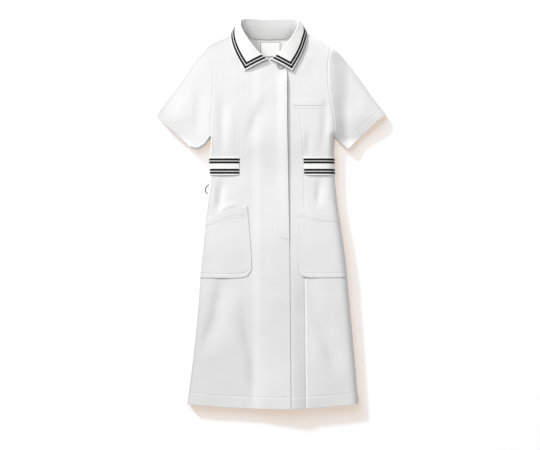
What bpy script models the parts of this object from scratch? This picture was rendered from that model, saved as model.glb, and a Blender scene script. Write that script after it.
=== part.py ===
"""Nurse uniform dress with short sleeves, laid out on its back and lightly filled out.

Metres, +Z up from the floor, +Y from the hem to the collar. Right and left are the wearer's, so
the right is at -X. The origin is on the floor under the middle of the whole dress. Every panel is
a wall of cloth whose outside follows one shape: a flat underside, a front that stands a few
centimetres above it, and rounded sides between them.
"""

import math
from collections import namedtuple

import bmesh
import bpy
import numpy as np

# Cloth
CLOTH = 0.0015
COLLAR_CLOTH = 0.002
TAB_CLOTH = 0.0018
LABEL_CLOTH = 0.001
SEAM_GAP = 0.0006
LAYER_GAP = 0.0008
SIDE_SEAM_GAP = 0.0009

# Roundness of the sides: how far in the front and the underside curve, and how high the seam lies
FRONT_ROUNDING = 0.034
UNDER_ROUNDING = 0.020
SEAM_HEIGHT_SHARE = 0.42
ROUND_ANGLES = (0, 9, 26, 45, 66, 90)

# Sleeves fall lower towards their hems, from this far out and above this y
SLEEVE_START = 0.165
SLEEVE_RUN = 0.150
SLEEVE_DROP = 0.010
SLEEVE_FOOT = 0.150
SLEEVE_FOOT_FADE = 0.060

# Grid of the panels
ARMHOLE_MIDDLE_STEPS = 6
ROW_LENGTH = 0.062
SIDE_STEPS = 3
TOP_LINE_SHARE = 0.7
FLY_PANEL_STEPS = 8
UNDERLAP_PANEL_STEPS = 7
BACK_CENTRE_STEPS = 9
SLEEVE_STEPS = 6

# Body below the arms: a row for each section, with the x of the seams and the height of the front
Section = namedtuple("Section", "name y side_right seam_right seam_left side_left height")
SECTIONS = (
    Section("underarm", 0.208, -0.167, -0.085, 0.088, 0.176, 0.040),
    Section("waist", 0.147, -0.169, -0.087, 0.090, 0.174, 0.036),
    Section("under the tabs", 0.100, -0.168, -0.087, 0.092, 0.176, 0.035),
    Section("pocket mouth", 0.001, -0.181, -0.082, 0.092, 0.187, 0.039),
    Section("hip", -0.073, -0.188, -0.077, 0.092, 0.198, 0.042),
    Section("pocket foot", -0.161, -0.197, -0.074, 0.092, 0.209, 0.042),
    Section("thigh", -0.265, -0.205, -0.073, 0.094, 0.219, 0.041),
    Section("knee", -0.375, -0.216, -0.072, 0.095, 0.229, 0.038),
    Section("hem", -0.524, -0.235, -0.070, 0.097, 0.242, 0.034),
)
UNDERARM = SECTIONS[0].y
HEM = SECTIONS[-1].y
HEM_DIP = 0.0135
HEM_DIP_START = -0.200
HEM_MIDDLE = 0.003
HEM_HALF_WIDTH = 0.238
BACK_HEM_RISE = 0.004

# Height of the front above the underarm, as (y, height)
CHEST_HEIGHTS = ((0.290, 0.040), (0.380, 0.038), (0.450, 0.036), (0.510, 0.035))

# Lines above the underarm as (x, y), from the neck or the shoulder outwards and down
LINES = {
    "shoulder_right": ((-0.091, 0.505), (-0.114, 0.493), (-0.170, 0.466), (-0.187, 0.448)),
    "shoulder_left": ((0.082, 0.505), (0.105, 0.495), (0.135, 0.479), (0.165, 0.459)),
    "armhole_right": (
        (-0.187, 0.448), (-0.175, 0.433), (-0.166, 0.412), (-0.160, 0.380),
        (-0.160, 0.345), (-0.162, 0.304), (-0.166, 0.257), (-0.167, 0.208),
    ),
    "armhole_left": (
        (0.165, 0.459), (0.161, 0.439), (0.157, 0.414), (0.156, 0.375),
        (0.161, 0.328), (0.169, 0.285), (0.175, 0.246), (0.176, 0.208),
    ),
    "arm_right": ((-0.187, 0.448), (-0.208, 0.425), (-0.259, 0.352), (-0.300, 0.298), (-0.317, 0.272)),
    "arm_left": ((0.165, 0.459), (0.185, 0.447), (0.217, 0.410), (0.286, 0.316), (0.317, 0.276)),
    "underarm_right": ((-0.167, 0.208), (-0.182, 0.188), (-0.203, 0.177), (-0.219, 0.180)),
    "underarm_left": ((0.176, 0.208), (0.193, 0.191), (0.210, 0.176)),
    "cuff_right": ((-0.317, 0.272), (-0.305, 0.257), (-0.265, 0.224), (-0.219, 0.180)),
    "cuff_left": ((0.317, 0.276), (0.264, 0.228), (0.210, 0.176)),
    "princess_right": ((-0.100, 0.500), (-0.089, 0.422), (-0.084, 0.340), (-0.081, 0.271), (-0.085, 0.208)),
    "princess_left": (
        (0.096, 0.499), (0.089, 0.422), (0.082, 0.353), (0.078, 0.298), (0.081, 0.252), (0.088, 0.208),
    ),
    "neck_front": (
        (-0.091, 0.505), (-0.084, 0.483), (-0.0715, 0.458),
        (-0.052, 0.436), (-0.030, 0.423), (-0.005, 0.4185),
    ),
    "neck_back": ((-0.091, 0.505), (-0.077, 0.495), (-0.058, 0.489), (-0.005, 0.485)),
}
NECK_MIDDLE = -0.0047

# Front fly: its edge from the hem up as (x, y), the edge of the front under it, and how the upper
# layer rises, with a flare along the open stretch of its edge
FLY_EDGE = (
    (0.0558, -0.537), (0.0533, -0.067), (0.0522, 0.065),
    (0.0503, 0.175), (0.0492, 0.285), (0.0484, 0.4165),
)
FLY_TOP = FLY_EDGE[-1]
UNDERLAP_EDGE = -0.0193
LAP_RISE = CLOTH + LAYER_GAP
LAP_START = -0.055
LAP_FULL = -0.026
FLARE = 0.003
FLARE_WIDTH = 0.020
FLARE_TOP, FLARE_FOOT, FLARE_FADE = 0.390, -0.045, 0.050

# Largest folds: a trough where the depth is negative and a ridge where it isn't
Fold = namedtuple("Fold", "name x0 y0 x1 y1 width depth")
FOLDS = (
    Fold("right bust", -0.136, 0.312, -0.136, 0.155, 0.016, -0.0040),
    Fold("right bust ridge", -0.110, 0.290, -0.111, 0.170, 0.012, 0.0015),
    Fold("drape across the front", -0.003, 0.326, -0.066, 0.190, 0.030, -0.0030),
    Fold("left bust", 0.148, 0.296, 0.148, 0.161, 0.014, -0.0040),
    Fold("left waist", 0.102, 0.202, 0.102, 0.155, 0.011, -0.0025),
    Fold("under the right tab", -0.140, 0.100, -0.146, -0.004, 0.014, -0.0050),
    Fold("right side ridge", -0.158, 0.098, -0.160, 0.020, 0.010, 0.0020),
    Fold("under the left tab", 0.131, 0.100, 0.131, 0.023, 0.016, -0.0040),
    Fold("skirt, right side", -0.143, -0.186, -0.190, -0.370, 0.022, -0.0040),
    Fold("skirt, right of the middle", -0.074, -0.265, -0.044, -0.521, 0.030, -0.0050),
    Fold("skirt, middle", -0.011, -0.210, -0.005, -0.300, 0.030, 0.0030),
    Fold("skirt, left side", 0.117, -0.265, 0.194, -0.447, 0.025, -0.0040),
    Fold("beside the fly foot", 0.0743, -0.087, 0.0743, -0.540, 0.018, -0.0030),
    Fold("right sleeve", -0.199, 0.340, -0.199, 0.216, 0.020, -0.0030),
    Fold("left sleeve", 0.198, 0.257, 0.198, 0.200, 0.018, -0.0030),
)

# Collar, its right half from the back middle to the front: the fold, and the edge of the leaf. An
# edge that is lower than the front under it is lifted onto it
CollarRow = namedtuple("CollarRow", "fold_x fold_y fold_z edge_x edge_y edge_z")
COLLAR = (
    CollarRow(-0.0047, 0.5324, 0.021, -0.0047, 0.4990, 0.001),
    CollarRow(-0.0358, 0.5351, 0.023, -0.0358, 0.5000, 0.001),
    CollarRow(-0.0619, 0.5368, 0.027, -0.0619, 0.5060, 0.003),
    CollarRow(-0.0770, 0.5360, 0.035, -0.0811, 0.5156, 0.009),
    CollarRow(-0.0830, 0.5299, 0.043, -0.0954, 0.5129, 0.019),
    CollarRow(-0.0836, 0.5198, 0.049, -0.1067, 0.5032, 0.029),
    CollarRow(-0.0803, 0.5074, 0.053, -0.1100, 0.4881, 0.033),
    CollarRow(-0.0720, 0.4922, 0.054, -0.1061, 0.4675, 0.0),
    CollarRow(-0.0605, 0.4749, 0.054, -0.0982, 0.4447, 0.0),
    CollarRow(-0.0454, 0.4562, 0.052, -0.0875, 0.4227, 0.0),
    CollarRow(-0.0289, 0.4392, 0.049, -0.0775, 0.4056, 0.0),
    CollarRow(-0.0074, 0.4238, 0.045, -0.0707, 0.3924, 0.0),
)
COLLAR_NECK_ROW = 4
COLLAR_TIP_ROWS = 3
COLLAR_FRONT_GAP = 0.002
NECK_HOLE_Y = 0.470
COLLAR_BASE_AT_BACK = 0.004
COLLAR_BASE_SINK = 0.001
FOLD_RADIUS = 0.003
TIP_LIFT = 0.0035
LEAF_CROWN = 0.003

# Waist tabs, from the princess seam round the side
TAB_TOP = 0.1537
TAB_HEIGHT = 0.049
TAB_BRIDGE = 0.0018
TAB_GAP = 0.0010
TAB_STEPS_ACROSS = 4
TAB_STEPS_ALONG = 5
TAB_UNDER_ANGLES = (-18, -36)

# Hip pockets: the y of both ends at the side seam, then the mouth and the foot as (x, y) from
# there inwards, and the inner edge down
POCKET_MOUTH_LIFT = 0.0025
POCKET_MOUTH_SHARE = 0.35
POCKET_INNER_STEPS = 5
HIP_POCKETS = {
    "right": {
        "side_ends": (-0.0125, -0.1763),
        "mouth": ((-0.130, 0.0044), (-0.0649, 0.0206)),
        "foot": ((-0.125, -0.1770), (-0.078, -0.1755), (-0.060, -0.1660), (-0.0535, -0.1480)),
        "inner": ((-0.0649, 0.0206), (-0.0583, -0.0591), (-0.0540, -0.1150), (-0.0535, -0.1480)),
    },
    "left": {
        "side_ends": (-0.0041, -0.1750),
        "mouth": ((0.133, 0.0055), (0.0748, 0.0170)),
        "foot": ((0.140, -0.1757), (0.096, -0.1745), (0.078, -0.1650), (0.0712, -0.1480)),
        "inner": ((0.0748, 0.0170), (0.0715, -0.0454), (0.0705, -0.1150), (0.0712, -0.1480)),
    },
}

# Chest welt, neck label, neck button and side loop
WELT_LEFT, WELT_RIGHT, WELT_TOP, WELT_FOOT = 0.0619, 0.1444, 0.3135, 0.2970
LABEL_LEFT, LABEL_RIGHT, LABEL_TOP, LABEL_FOOT = -0.0316, 0.0275, 0.4733, 0.4290
BUTTON_CENTRE = (0.0256, 0.4067)
BUTTON_RADIUS = 0.010
BUTTON_THICKNESS = 0.003
BUTTON_ROOM = 0.012
LOOP_POINTS = ((0.0806, 0.0), (0.074, 0.0055), (0.0668, 0.0075), (0.060, 0.0055), (0.0553, 0.0))
LOOP_THICKNESS = 0.0022
LOOP_GAP = 0.0003

# Colour, roughness and metallic value of each finish
FINISHES = {
    "white_cloth": ((0.86, 0.86, 0.855, 1.0), 0.85, 0.0),
    "striped_cloth": ((0.84, 0.84, 0.835, 1.0), 0.85, 0.0),
    "label_cloth": ((0.90, 0.90, 0.89, 1.0), 0.6, 0.0),
    "button_resin": ((0.72, 0.73, 0.72, 1.0), 0.35, 0.0),
    "loop_thread": ((0.25, 0.25, 0.26, 1.0), 0.8, 0.0),
}


def clear_scene():
    for obj in list(bpy.data.objects):
        bpy.data.objects.remove(obj, do_unlink=True)


def unit(vectors):
    return vectors / np.linalg.norm(vectors, axis=-1, keepdims=True)


def smooth_step(share):
    share = np.clip(share, 0, 1)
    return share * share * (3 - 2 * share)


def smooth(points, per_span=12):
    """A dense Catmull-Rom line through the points."""
    p = np.asarray(points, float)
    p = np.vstack([2 * p[0] - p[1], p, 2 * p[-1] - p[-2]])
    t = np.linspace(0, 1, per_span, endpoint=False)[:, None]
    spans = []
    for a, b, c, d in zip(p, p[1:], p[2:], p[3:]):
        spans.append(
            0.5 * (2 * b + (c - a) * t + (2 * a - 5 * b + 4 * c - d) * t**2 + (3 * b - a - 3 * c + d) * t**3)
        )
    return np.vstack(spans + [p[-2:-1]])


def along(line, shares):
    """Points at the given shares of a line's length."""
    steps = np.linalg.norm(np.diff(line, axis=0), axis=1)
    run = np.concatenate([[0], np.cumsum(steps)]) / steps.sum()
    return np.column_stack([np.interp(shares, run, line[:, k]) for k in range(line.shape[1])])


def length(line):
    return np.linalg.norm(np.diff(line, axis=0), axis=1).sum()


def rounded_steps(total, both_ends=True, middle=SIDE_STEPS):
    """Distances along a stretch that starts, and may end, at a rounded side, closer together there."""
    start = FRONT_ROUNDING * (1 - np.cos(np.radians(ROUND_ANGLES)))
    end = total - start[::-1] if both_ends else np.array([total])
    between = np.linspace(start[-1], end[0], middle + 1)[1:-1]
    return np.concatenate([start, between, end])


def mirrored(line):
    line = np.array(line, float)
    line[:, 0] = 2 * NECK_MIDDLE - line[:, 0]
    return line


CURVES = {name: smooth(points) for name, points in LINES.items()}
CURVES["neck_front_left"] = mirrored(CURVES["neck_front"])
CURVES["neck_back_left"] = mirrored(CURVES["neck_back"])


def x_at(line, y):
    order = np.argsort(line[:, 1])
    return np.interp(y, line[order, 1], line[order, 0])


def body_ys():
    """Rows of the grid below the underarm: every section, and steps between those far apart."""
    ys = []
    for upper, lower in zip(SECTIONS, SECTIONS[1:]):
        steps = math.ceil((upper.y - lower.y) / ROW_LENGTH)
        ys += list(np.linspace(upper.y, lower.y, steps + 1)[1:])
    return np.array(ys)


def section_line(column):
    """A seam below the arms, from row to row of the grid, down to the hem."""
    line = smooth([(getattr(row, column), row.y) for row in SECTIONS])
    ys = np.concatenate([[UNDERARM], body_ys()])
    return np.column_stack([x_at(line, ys), ys])


SIDES = {side: section_line("side_" + side) for side in ("right", "left")}
SEAMS = {side: section_line("seam_" + side) for side in ("right", "left")}


def outline_pieces():
    """The lines where front and back meet, which the cloth rounds away to."""
    pieces = []
    for side in ("right", "left"):
        pieces += [CURVES[f"{name}_{side}"] for name in ("shoulder", "arm", "underarm")]
        pieces.append(SIDES[side])
    return pieces


OUTLINE_STARTS = np.vstack([piece[:-1] for piece in outline_pieces()])
OUTLINE_ENDS = np.vstack([piece[1:] for piece in outline_pieces()])


def distance_to(xy, starts, ends):
    """Distance from each point to the nearest of some segments."""
    runs = ends - starts
    share = ((xy[:, None] - starts) * runs).sum(2) / np.maximum((runs**2).sum(1), 1e-12)
    nearest = starts + np.clip(share, 0, 1)[..., None] * runs
    return np.linalg.norm(xy[:, None] - nearest, axis=2).min(1)


def crown(xy):
    """Height of the front where it is clear of the sides."""
    table = sorted([(row.y, row.height) for row in SECTIONS] + list(CHEST_HEIGHTS))
    ys, heights = np.array(table).T
    top = np.interp(xy[:, 1], ys, heights)
    on_arm = smooth_step((np.abs(xy[:, 0]) - SLEEVE_START) / SLEEVE_RUN)
    above = smooth_step((xy[:, 1] - SLEEVE_FOOT) / SLEEVE_FOOT_FADE)
    return top - SLEEVE_DROP * on_arm * above


def folds(xy):
    rise = np.zeros(len(xy))
    for row in FOLDS:
        start, end = np.array([[row.x0, row.y0]]), np.array([[row.x1, row.y1]])
        rise += row.depth * np.exp(-((distance_to(xy, start, end) / row.width) ** 2))
    return rise


def front(xy, folded=True):
    """Height of the outside of the front, from the side seam over the rounded side to the top."""
    away = 1 - np.clip(distance_to(xy, OUTLINE_STARTS, OUTLINE_ENDS) / FRONT_ROUNDING, 0, 1)
    top = crown(xy)
    seam = SEAM_HEIGHT_SHARE * top
    rise = folds(xy) * (1 - away) if folded else 0
    return seam + (top - seam) * np.sqrt(1 - away**2) + rise


def under(xy):
    """Height of the outside of the back: flat on the floor, rounding up to the side seam."""
    away = 1 - np.clip(distance_to(xy, OUTLINE_STARTS, OUTLINE_ENDS) / UNDER_ROUNDING, 0, 1)
    return SEAM_HEIGHT_SHARE * crown(xy) * (1 - np.sqrt(1 - away**2))


def fly_edge(y):
    """x of the fly's edge."""
    xs, ys = np.array(FLY_EDGE).T
    return np.interp(y, ys, xs)


def lap(xy):
    """How far the right front is lifted where it laps over the left front."""
    rise = LAP_RISE * smooth_step((xy[:, 0] - LAP_START) / (LAP_FULL - LAP_START))
    near_edge = smooth_step(1 - (fly_edge(xy[:, 1]) - xy[:, 0]) / FLARE_WIDTH)
    below_top = smooth_step((FLARE_TOP - xy[:, 1]) / FLARE_FADE)
    above_foot = smooth_step((xy[:, 1] - FLARE_FOOT) / FLARE_FADE)
    return rise + FLARE * near_edge * below_top * above_foot


def material(name):
    found = bpy.data.materials.get(name)
    if found:
        return found
    colour, roughness, metallic = FINISHES[name]
    found = bpy.data.materials.new(name)
    found.use_nodes = True
    shader = found.node_tree.nodes["Principled BSDF"]
    shader.inputs["Base Color"].default_value = colour
    shader.inputs["Roughness"].default_value = roughness
    shader.inputs["Metallic"].default_value = metallic
    found.diffuse_color = colour
    return found


def add_object(name, mesh, finish, collection):
    obj = bpy.data.objects.new(name, mesh)
    mesh.materials.append(material(finish))
    collection.objects.link(obj)
    return obj


def cloth(name, points, collection, wall=CLOTH, finish="white_cloth", tube=False, flip=False):
    """A wall of cloth with its outside on a grid of points and its thickness inwards."""
    rows, columns = points.shape[:2]
    shape = bmesh.new()
    bmesh.ops.create_grid(shape, x_segments=columns - 1, y_segments=rows - 1, size=1)
    shape.verts.ensure_lookup_table()
    for vert, place in zip(shape.verts, points.reshape(-1, 3)):
        vert.co = place
    if tube:
        bmesh.ops.remove_doubles(shape, verts=shape.verts, dist=1e-6)
    if flip:
        bmesh.ops.reverse_faces(shape, faces=shape.faces)
    mesh = bpy.data.meshes.new(name)
    shape.to_mesh(mesh)
    shape.free()
    mesh.shade_smooth()
    obj = add_object(name, mesh, finish, collection)
    thickness = obj.modifiers.new("Wall", "SOLIDIFY")
    thickness.thickness = wall
    thickness.offset = -1
    return obj


def on_surface(plan, height):
    """Lays a grid of plan points on a surface."""
    rows, columns = plan.shape[:2]
    flat = plan.reshape(-1, 2)
    return np.column_stack([flat, height(flat)]).reshape(rows, columns, 3)


def armhole_shares(side):
    total = length(CURVES["armhole_" + side])
    return rounded_steps(total, middle=ARMHOLE_MIDDLE_STEPS) / total


def rows_down(upper, lower):
    """Points on a line of the body, one for each row of the grid, from the shoulder to the hem."""
    return np.vstack([along(upper, armhole_shares("right")), lower[1:]])


def fades():
    """How much of a panel's own top line is still in each row."""
    shares = np.concatenate([armhole_shares("right"), np.ones(len(body_ys()))])
    return (1 - smooth_step(shares / TOP_LINE_SHARE))[:, None, None]


def hem_dip(plan):
    """Lowers the rows near the hem towards the middle, where the hem hangs a little lower."""
    across = 1 - ((plan[..., 0] - HEM_MIDDLE) / HEM_HALF_WIDTH) ** 2
    down = np.clip((HEM_DIP_START - plan[..., 1]) / (HEM_DIP_START - HEM), 0, 1)
    lowered = plan.copy()
    lowered[..., 1] -= HEM_DIP * across * down**2
    return lowered


def grid_between(first, last, shares, top=None):
    """Rows of plan points between two lines, the first row bent to the top line."""
    plan = first[:, None] + (last - first)[:, None] * shares[..., None]
    if top is not None:
        straight = plan[0].copy()
        plan = plan + (top - straight)[None] * fades()
    return hem_dip(plan)


def side_shares(first, last):
    """Shares across a side panel in each row, close together where the side is rounded."""
    widths = np.linalg.norm(last - first, axis=1)
    return np.array([rounded_steps(width, both_ends=False) / width for width in widths])


def inset(plan, start=0.0, end=0.0):
    """Takes a little off the first and the last column, one value for each row."""
    plan = plan.copy()
    plan[:, 0] += unit(plan[:, 1] - plan[:, 0]) * np.reshape(start, (-1, 1))
    plan[:, -1] += unit(plan[:, -2] - plan[:, -1]) * np.reshape(end, (-1, 1))
    return plan


def seam_rows(side):
    return rows_down(CURVES["princess_" + side], SEAMS[side])


def side_plan(side):
    """Plan of a side panel, from the armhole and side seam to the princess seam."""
    outer = rows_down(CURVES["armhole_" + side], SIDES[side])
    inner = seam_rows(side)
    shares = side_shares(outer, inner)
    shoulder = CURVES["shoulder_" + side]
    beyond = shoulder[np.abs(shoulder[:, 0]) > abs(inner[0, 0])]
    top = along(np.vstack([inner[:1], beyond])[::-1], shares[0])
    return grid_between(outer, inner, shares, top)


def seam_gap():
    """Half the gap at a princess seam in each row, a little more where it climbs to the shoulder."""
    return SEAM_GAP / 2 * (1 + fades().reshape(-1))


def armhole_gap(plan):
    """Half a seam gap on the rows that end at the armhole, none on the rows at the side seam."""
    gap = np.zeros(len(plan))
    gap[: len(armhole_shares("right"))] = SEAM_GAP / 2
    return gap


def raise_edge(points, above):
    """Parts front and back at the side seam and the shoulder."""
    away = distance_to(points.reshape(-1, 3)[:, :2], OUTLINE_STARTS, OUTLINE_ENDS).reshape(points.shape[:2])
    points = points.copy()
    points[..., 2] += above * SIDE_SEAM_GAP / 2 * np.clip(1 - away / UNDER_ROUNDING, 0, 1)
    return points


def make_side_panel(side, collection):
    plan = side_plan(side)
    plan = inset(plan, armhole_gap(plan), seam_gap())
    points = raise_edge(on_surface(plan, front), 1)
    cloth(f"front_{side}_side", points, collection, flip=side == "right")


def neck_top(side, start, tail):
    """Top line of a centre panel: shoulder, neckline and then the way to its front edge."""
    name = "neck_front" if side == "right" else "neck_front_left"
    return np.vstack([start[None], CURVES[name], np.array(tail)[None]])


def fly_edge_rows():
    """Edge of the fly in each row."""
    shares = armhole_shares("right")
    upper_ys = FLY_TOP[1] + (UNDERARM - FLY_TOP[1]) * shares
    ys = np.concatenate([upper_ys, body_ys()])
    return np.column_stack([fly_edge(ys), ys])


def make_fly_panel(collection):
    """Right centre front, whose edge laps over the left front."""
    seam, edge = seam_rows("right"), fly_edge_rows()
    shares = np.tile(np.linspace(0, 1, FLY_PANEL_STEPS + 1), (len(seam), 1))
    top = along(neck_top("right", seam[0], FLY_TOP), shares[0])
    plan = inset(grid_between(seam, edge, shares, top), seam_gap())
    points = on_surface(plan, lambda xy: front(xy) + lap(xy))
    cloth("front_right_centre", raise_edge(points, 1), collection, flip=True)


def make_underlap_panel(collection):
    """Left centre front, which runs on under the fly."""
    seam = seam_rows("left")
    edge = fly_edge_rows()
    edge[:, 0] = UNDERLAP_EDGE
    shares = np.tile(np.linspace(0, 1, UNDERLAP_PANEL_STEPS + 1), (len(seam), 1))
    top = along(neck_top("left", seam[0], (UNDERLAP_EDGE, FLY_TOP[1])), shares[0])
    plan = inset(grid_between(seam, edge, shares, top), seam_gap())
    cloth("front_left_centre", raise_edge(on_surface(plan, front), 1), collection)


def make_back(collection):
    """Back in one piece, on the floor, with its columns under those of the front."""
    right, left = side_plan("right"), side_plan("left")
    seam_right, seam_left = seam_rows("right"), seam_rows("left")
    shares = np.tile(np.linspace(0, 1, BACK_CENTRE_STEPS + 1), (len(seam_right), 1))
    line = np.vstack([seam_right[:1], CURVES["neck_back"], CURVES["neck_back_left"][::-1], seam_left[:1]])
    middle = grid_between(seam_right, seam_left, shares, along(line, shares[0]))
    plan = np.concatenate([right, middle[:, 1:-1], left[:, ::-1]], axis=1)
    gap = armhole_gap(plan)
    plan = inset(plan, gap, gap)
    plan[-1, :, 1] += BACK_HEM_RISE
    cloth("back", raise_edge(on_surface(plan, under), -1), collection)


def make_sleeve(side, collection):
    """Sleeve as one flattened tube: over the front from the shoulder to the underarm, and back."""
    shares = armhole_shares("right")
    armhole, cuff = along(CURVES["armhole_" + side], shares), along(CURVES["cuff_" + side], shares)
    steps = np.linspace(0, 1, SLEEVE_STEPS + 1)
    arm, inner = along(CURVES["arm_" + side], steps), along(CURVES["underarm_" + side], steps)
    s, t = steps[:, None, None], shares[None, :, None]
    corners = (1 - s) * ((1 - t) * armhole[0] + t * armhole[-1]) + s * ((1 - t) * cuff[0] + t * cuff[-1])
    plan = (1 - s) * armhole + s * cuff + (1 - t) * arm[:, None] + t * inner[:, None] - corners
    plan = inset(plan.transpose(1, 0, 2), np.full(len(shares), SEAM_GAP / 2)).transpose(1, 0, 2)
    over, below = on_surface(plan, front), on_surface(plan, under)
    below[:, [0, -1]] = over[:, [0, -1]]
    loop = np.concatenate([over, below[:, -2::-1]], axis=1)
    cloth(f"sleeve_{side}", loop, collection, tube=True, flip=side == "right")


def inside_front(xy):
    """Whether each point lies over the front, by counting the outline's crossings."""
    loop = np.vstack(
        [
            CURVES["neck_front"][::-1],
            CURVES["shoulder_right"],
            CURVES["armhole_right"],
            SIDES["right"],
            SIDES["left"][::-1],
            CURVES["armhole_left"][::-1],
            CURVES["shoulder_left"][::-1],
            CURVES["neck_front_left"],
        ]
    )
    a, b = loop, np.roll(loop, -1, axis=0)
    x, y = xy[:, 0][:, None], xy[:, 1][:, None]
    spans = (a[:, 1] > y) != (b[:, 1] > y)
    rise = np.where(b[:, 1] == a[:, 1], 1, b[:, 1] - a[:, 1])
    crossing = a[:, 0] + (y - a[:, 1]) * (b[:, 0] - a[:, 0]) / rise
    return (spans & (x < crossing)).sum(1) % 2 == 1


def button_bump(xy):
    away = np.linalg.norm(xy - np.array(BUTTON_CENTRE), axis=1)
    return (BUTTON_THICKNESS + LAYER_GAP) * (1 - smooth_step((away - BUTTON_RADIUS) / BUTTON_ROOM))


def collar_floor(xy):
    """The lowest that the collar's leaf may lie over the front, the fly and the button."""
    lifted = front(xy) + LAP_RISE * (xy[:, 0] > LAP_START) * (xy[:, 0] < FLY_TOP[0] + 0.005) + button_bump(xy)
    return np.where(inside_front(xy), lifted + LAYER_GAP + COLLAR_CLOTH, 0.0)


def collar_base():
    """Foot of the stand, just inside the neckline, from the back middle to the front middle."""
    at_back = along(CURVES["neck_back"][::-1], np.linspace(0, 1, COLLAR_NECK_ROW + 1))
    at_front = along(CURVES["neck_front"], np.linspace(0, 1, len(COLLAR) - COLLAR_NECK_ROW))[1:]
    line = np.vstack([at_back, at_front])
    heights = np.concatenate(
        [
            np.maximum(under(at_back), COLLAR_BASE_AT_BACK),
            front(at_front) - COLLAR_BASE_SINK,
        ]
    )
    heights[COLLAR_NECK_ROW] = SEAM_HEIGHT_SHARE * crown(line)[COLLAR_NECK_ROW] + COLLAR_BASE_SINK
    runs = unit(np.gradient(line, axis=0))
    inward = np.column_stack([-runs[:, 1], runs[:, 0]])
    inward *= np.sign((inward * (np.array([NECK_MIDDLE, NECK_HOLE_Y]) - line)).sum(1))[:, None]
    line = line + inward * (COLLAR_CLOTH + LAYER_GAP)
    line[-1, 0] = min(line[-1, 0], NECK_MIDDLE - COLLAR_FRONT_GAP)
    return np.column_stack([line, heights])


def collar_section(base, fold, edge):
    """Points from the neckline up the stand, round the fold and down the leaf to its edge."""
    up = unit(fold - (base + edge) / 2)
    across = edge - base
    across = unit(across - up * (across @ up))
    centre = fold - up * FOLD_RADIUS
    angles = np.radians((0, 45, 90, 135, 180))[:, None]
    turn = centre + FOLD_RADIUS * (np.sin(angles) * up - np.cos(angles) * across)
    stand = base + (turn[0] - base) * np.array([[0], [0.34], [0.67]])
    shares = np.array([[0.25], [0.5], [0.75], [1.0]])
    crowned = LEAF_CROWN * 4 * shares * (1 - shares) * across
    return np.vstack([stand, turn, turn[-1] + (edge - turn[-1]) * shares + crowned])


def make_collar(collection):
    """One-piece collar: its stand stands on the neckline and its leaf folds out over the front."""
    base = collar_base()
    folded = np.array([(row.fold_x, row.fold_y, row.fold_z) for row in COLLAR])
    edge = np.array([(row.edge_x, row.edge_y, row.edge_z) for row in COLLAR])
    lift = TIP_LIFT * smooth_step(1 - (len(COLLAR) - 1 - np.arange(len(COLLAR))) / COLLAR_TIP_ROWS)
    halves = []
    for side in ("right", "left"):
        sections = []
        for row in range(len(COLLAR)):
            points = np.array([base[row], folded[row], edge[row]])
            if side == "left":
                points[:, 0] = 2 * NECK_MIDDLE - points[:, 0]
            points[2, 2] = max(points[2, 2], collar_floor(points[2:, :2])[0] + lift[row])
            section = collar_section(*points)
            leaf = section[-5:]
            leaf[:, 2] = np.maximum(leaf[:, 2], collar_floor(leaf[:, :2]))
            sections.append(section)
        halves.append(np.array(sections))
    stations = np.concatenate([halves[0][::-1], halves[1][1:]])
    cloth("collar", stations, collection, wall=COLLAR_CLOTH, finish="striped_cloth", flip=True)


def rounded_side(side, y, distances, angles_under=()):
    """Across the front from the side at one y: points on it and the way out of the cloth there."""
    sign = 1 if side == "left" else -1
    edge_x = x_at(SIDES[side], y)
    top = crown(np.array([[edge_x, y]]))[0]
    seam = SEAM_HEIGHT_SHARE * top
    points, outward = [], []
    for distance in distances:
        x = edge_x - sign * distance
        z = front(np.array([[x, y]]), folded=False)[0]
        cos = 1 - min(distance / FRONT_ROUNDING, 1)
        sin = math.sqrt(1 - cos * cos)
        points.append((x, y, z))
        outward.append((sign * cos / FRONT_ROUNDING, 0, sin / (top - seam)))
    for angle in angles_under:
        cos, sin = math.cos(math.radians(angle)), math.sin(math.radians(angle))
        points.append((edge_x - sign * UNDER_ROUNDING * (1 - cos), y, seam * (1 + sin)))
        outward.append((sign * cos / UNDER_ROUNDING, 0, sin / seam))
    return np.array(points), unit(np.array(outward))


def make_tab(side, collection):
    """Waist tab from the princess seam over the side, bridging the hollows under it."""
    rows = []
    for y in np.linspace(TAB_TOP, TAB_TOP - TAB_HEIGHT, TAB_STEPS_ACROSS + 1):
        inner = abs(x_at(SIDES[side], y) - x_at(SEAMS[side], y)) - SEAM_GAP / 2
        distances = rounded_steps(inner, both_ends=False, middle=TAB_STEPS_ALONG)[::-1]
        points, outward = rounded_side(side, y, distances, TAB_UNDER_ANGLES)
        bridge = np.zeros(len(points))
        bridge[: len(distances)] = TAB_BRIDGE * np.sin(math.pi * distances / inner)
        rows.append(points + outward * (TAB_CLOTH + TAB_GAP + bridge)[:, None])
    cloth(f"waist_tab_{side}", np.array(rows), collection, TAB_CLOTH, "striped_cloth", flip=side == "left")


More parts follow.
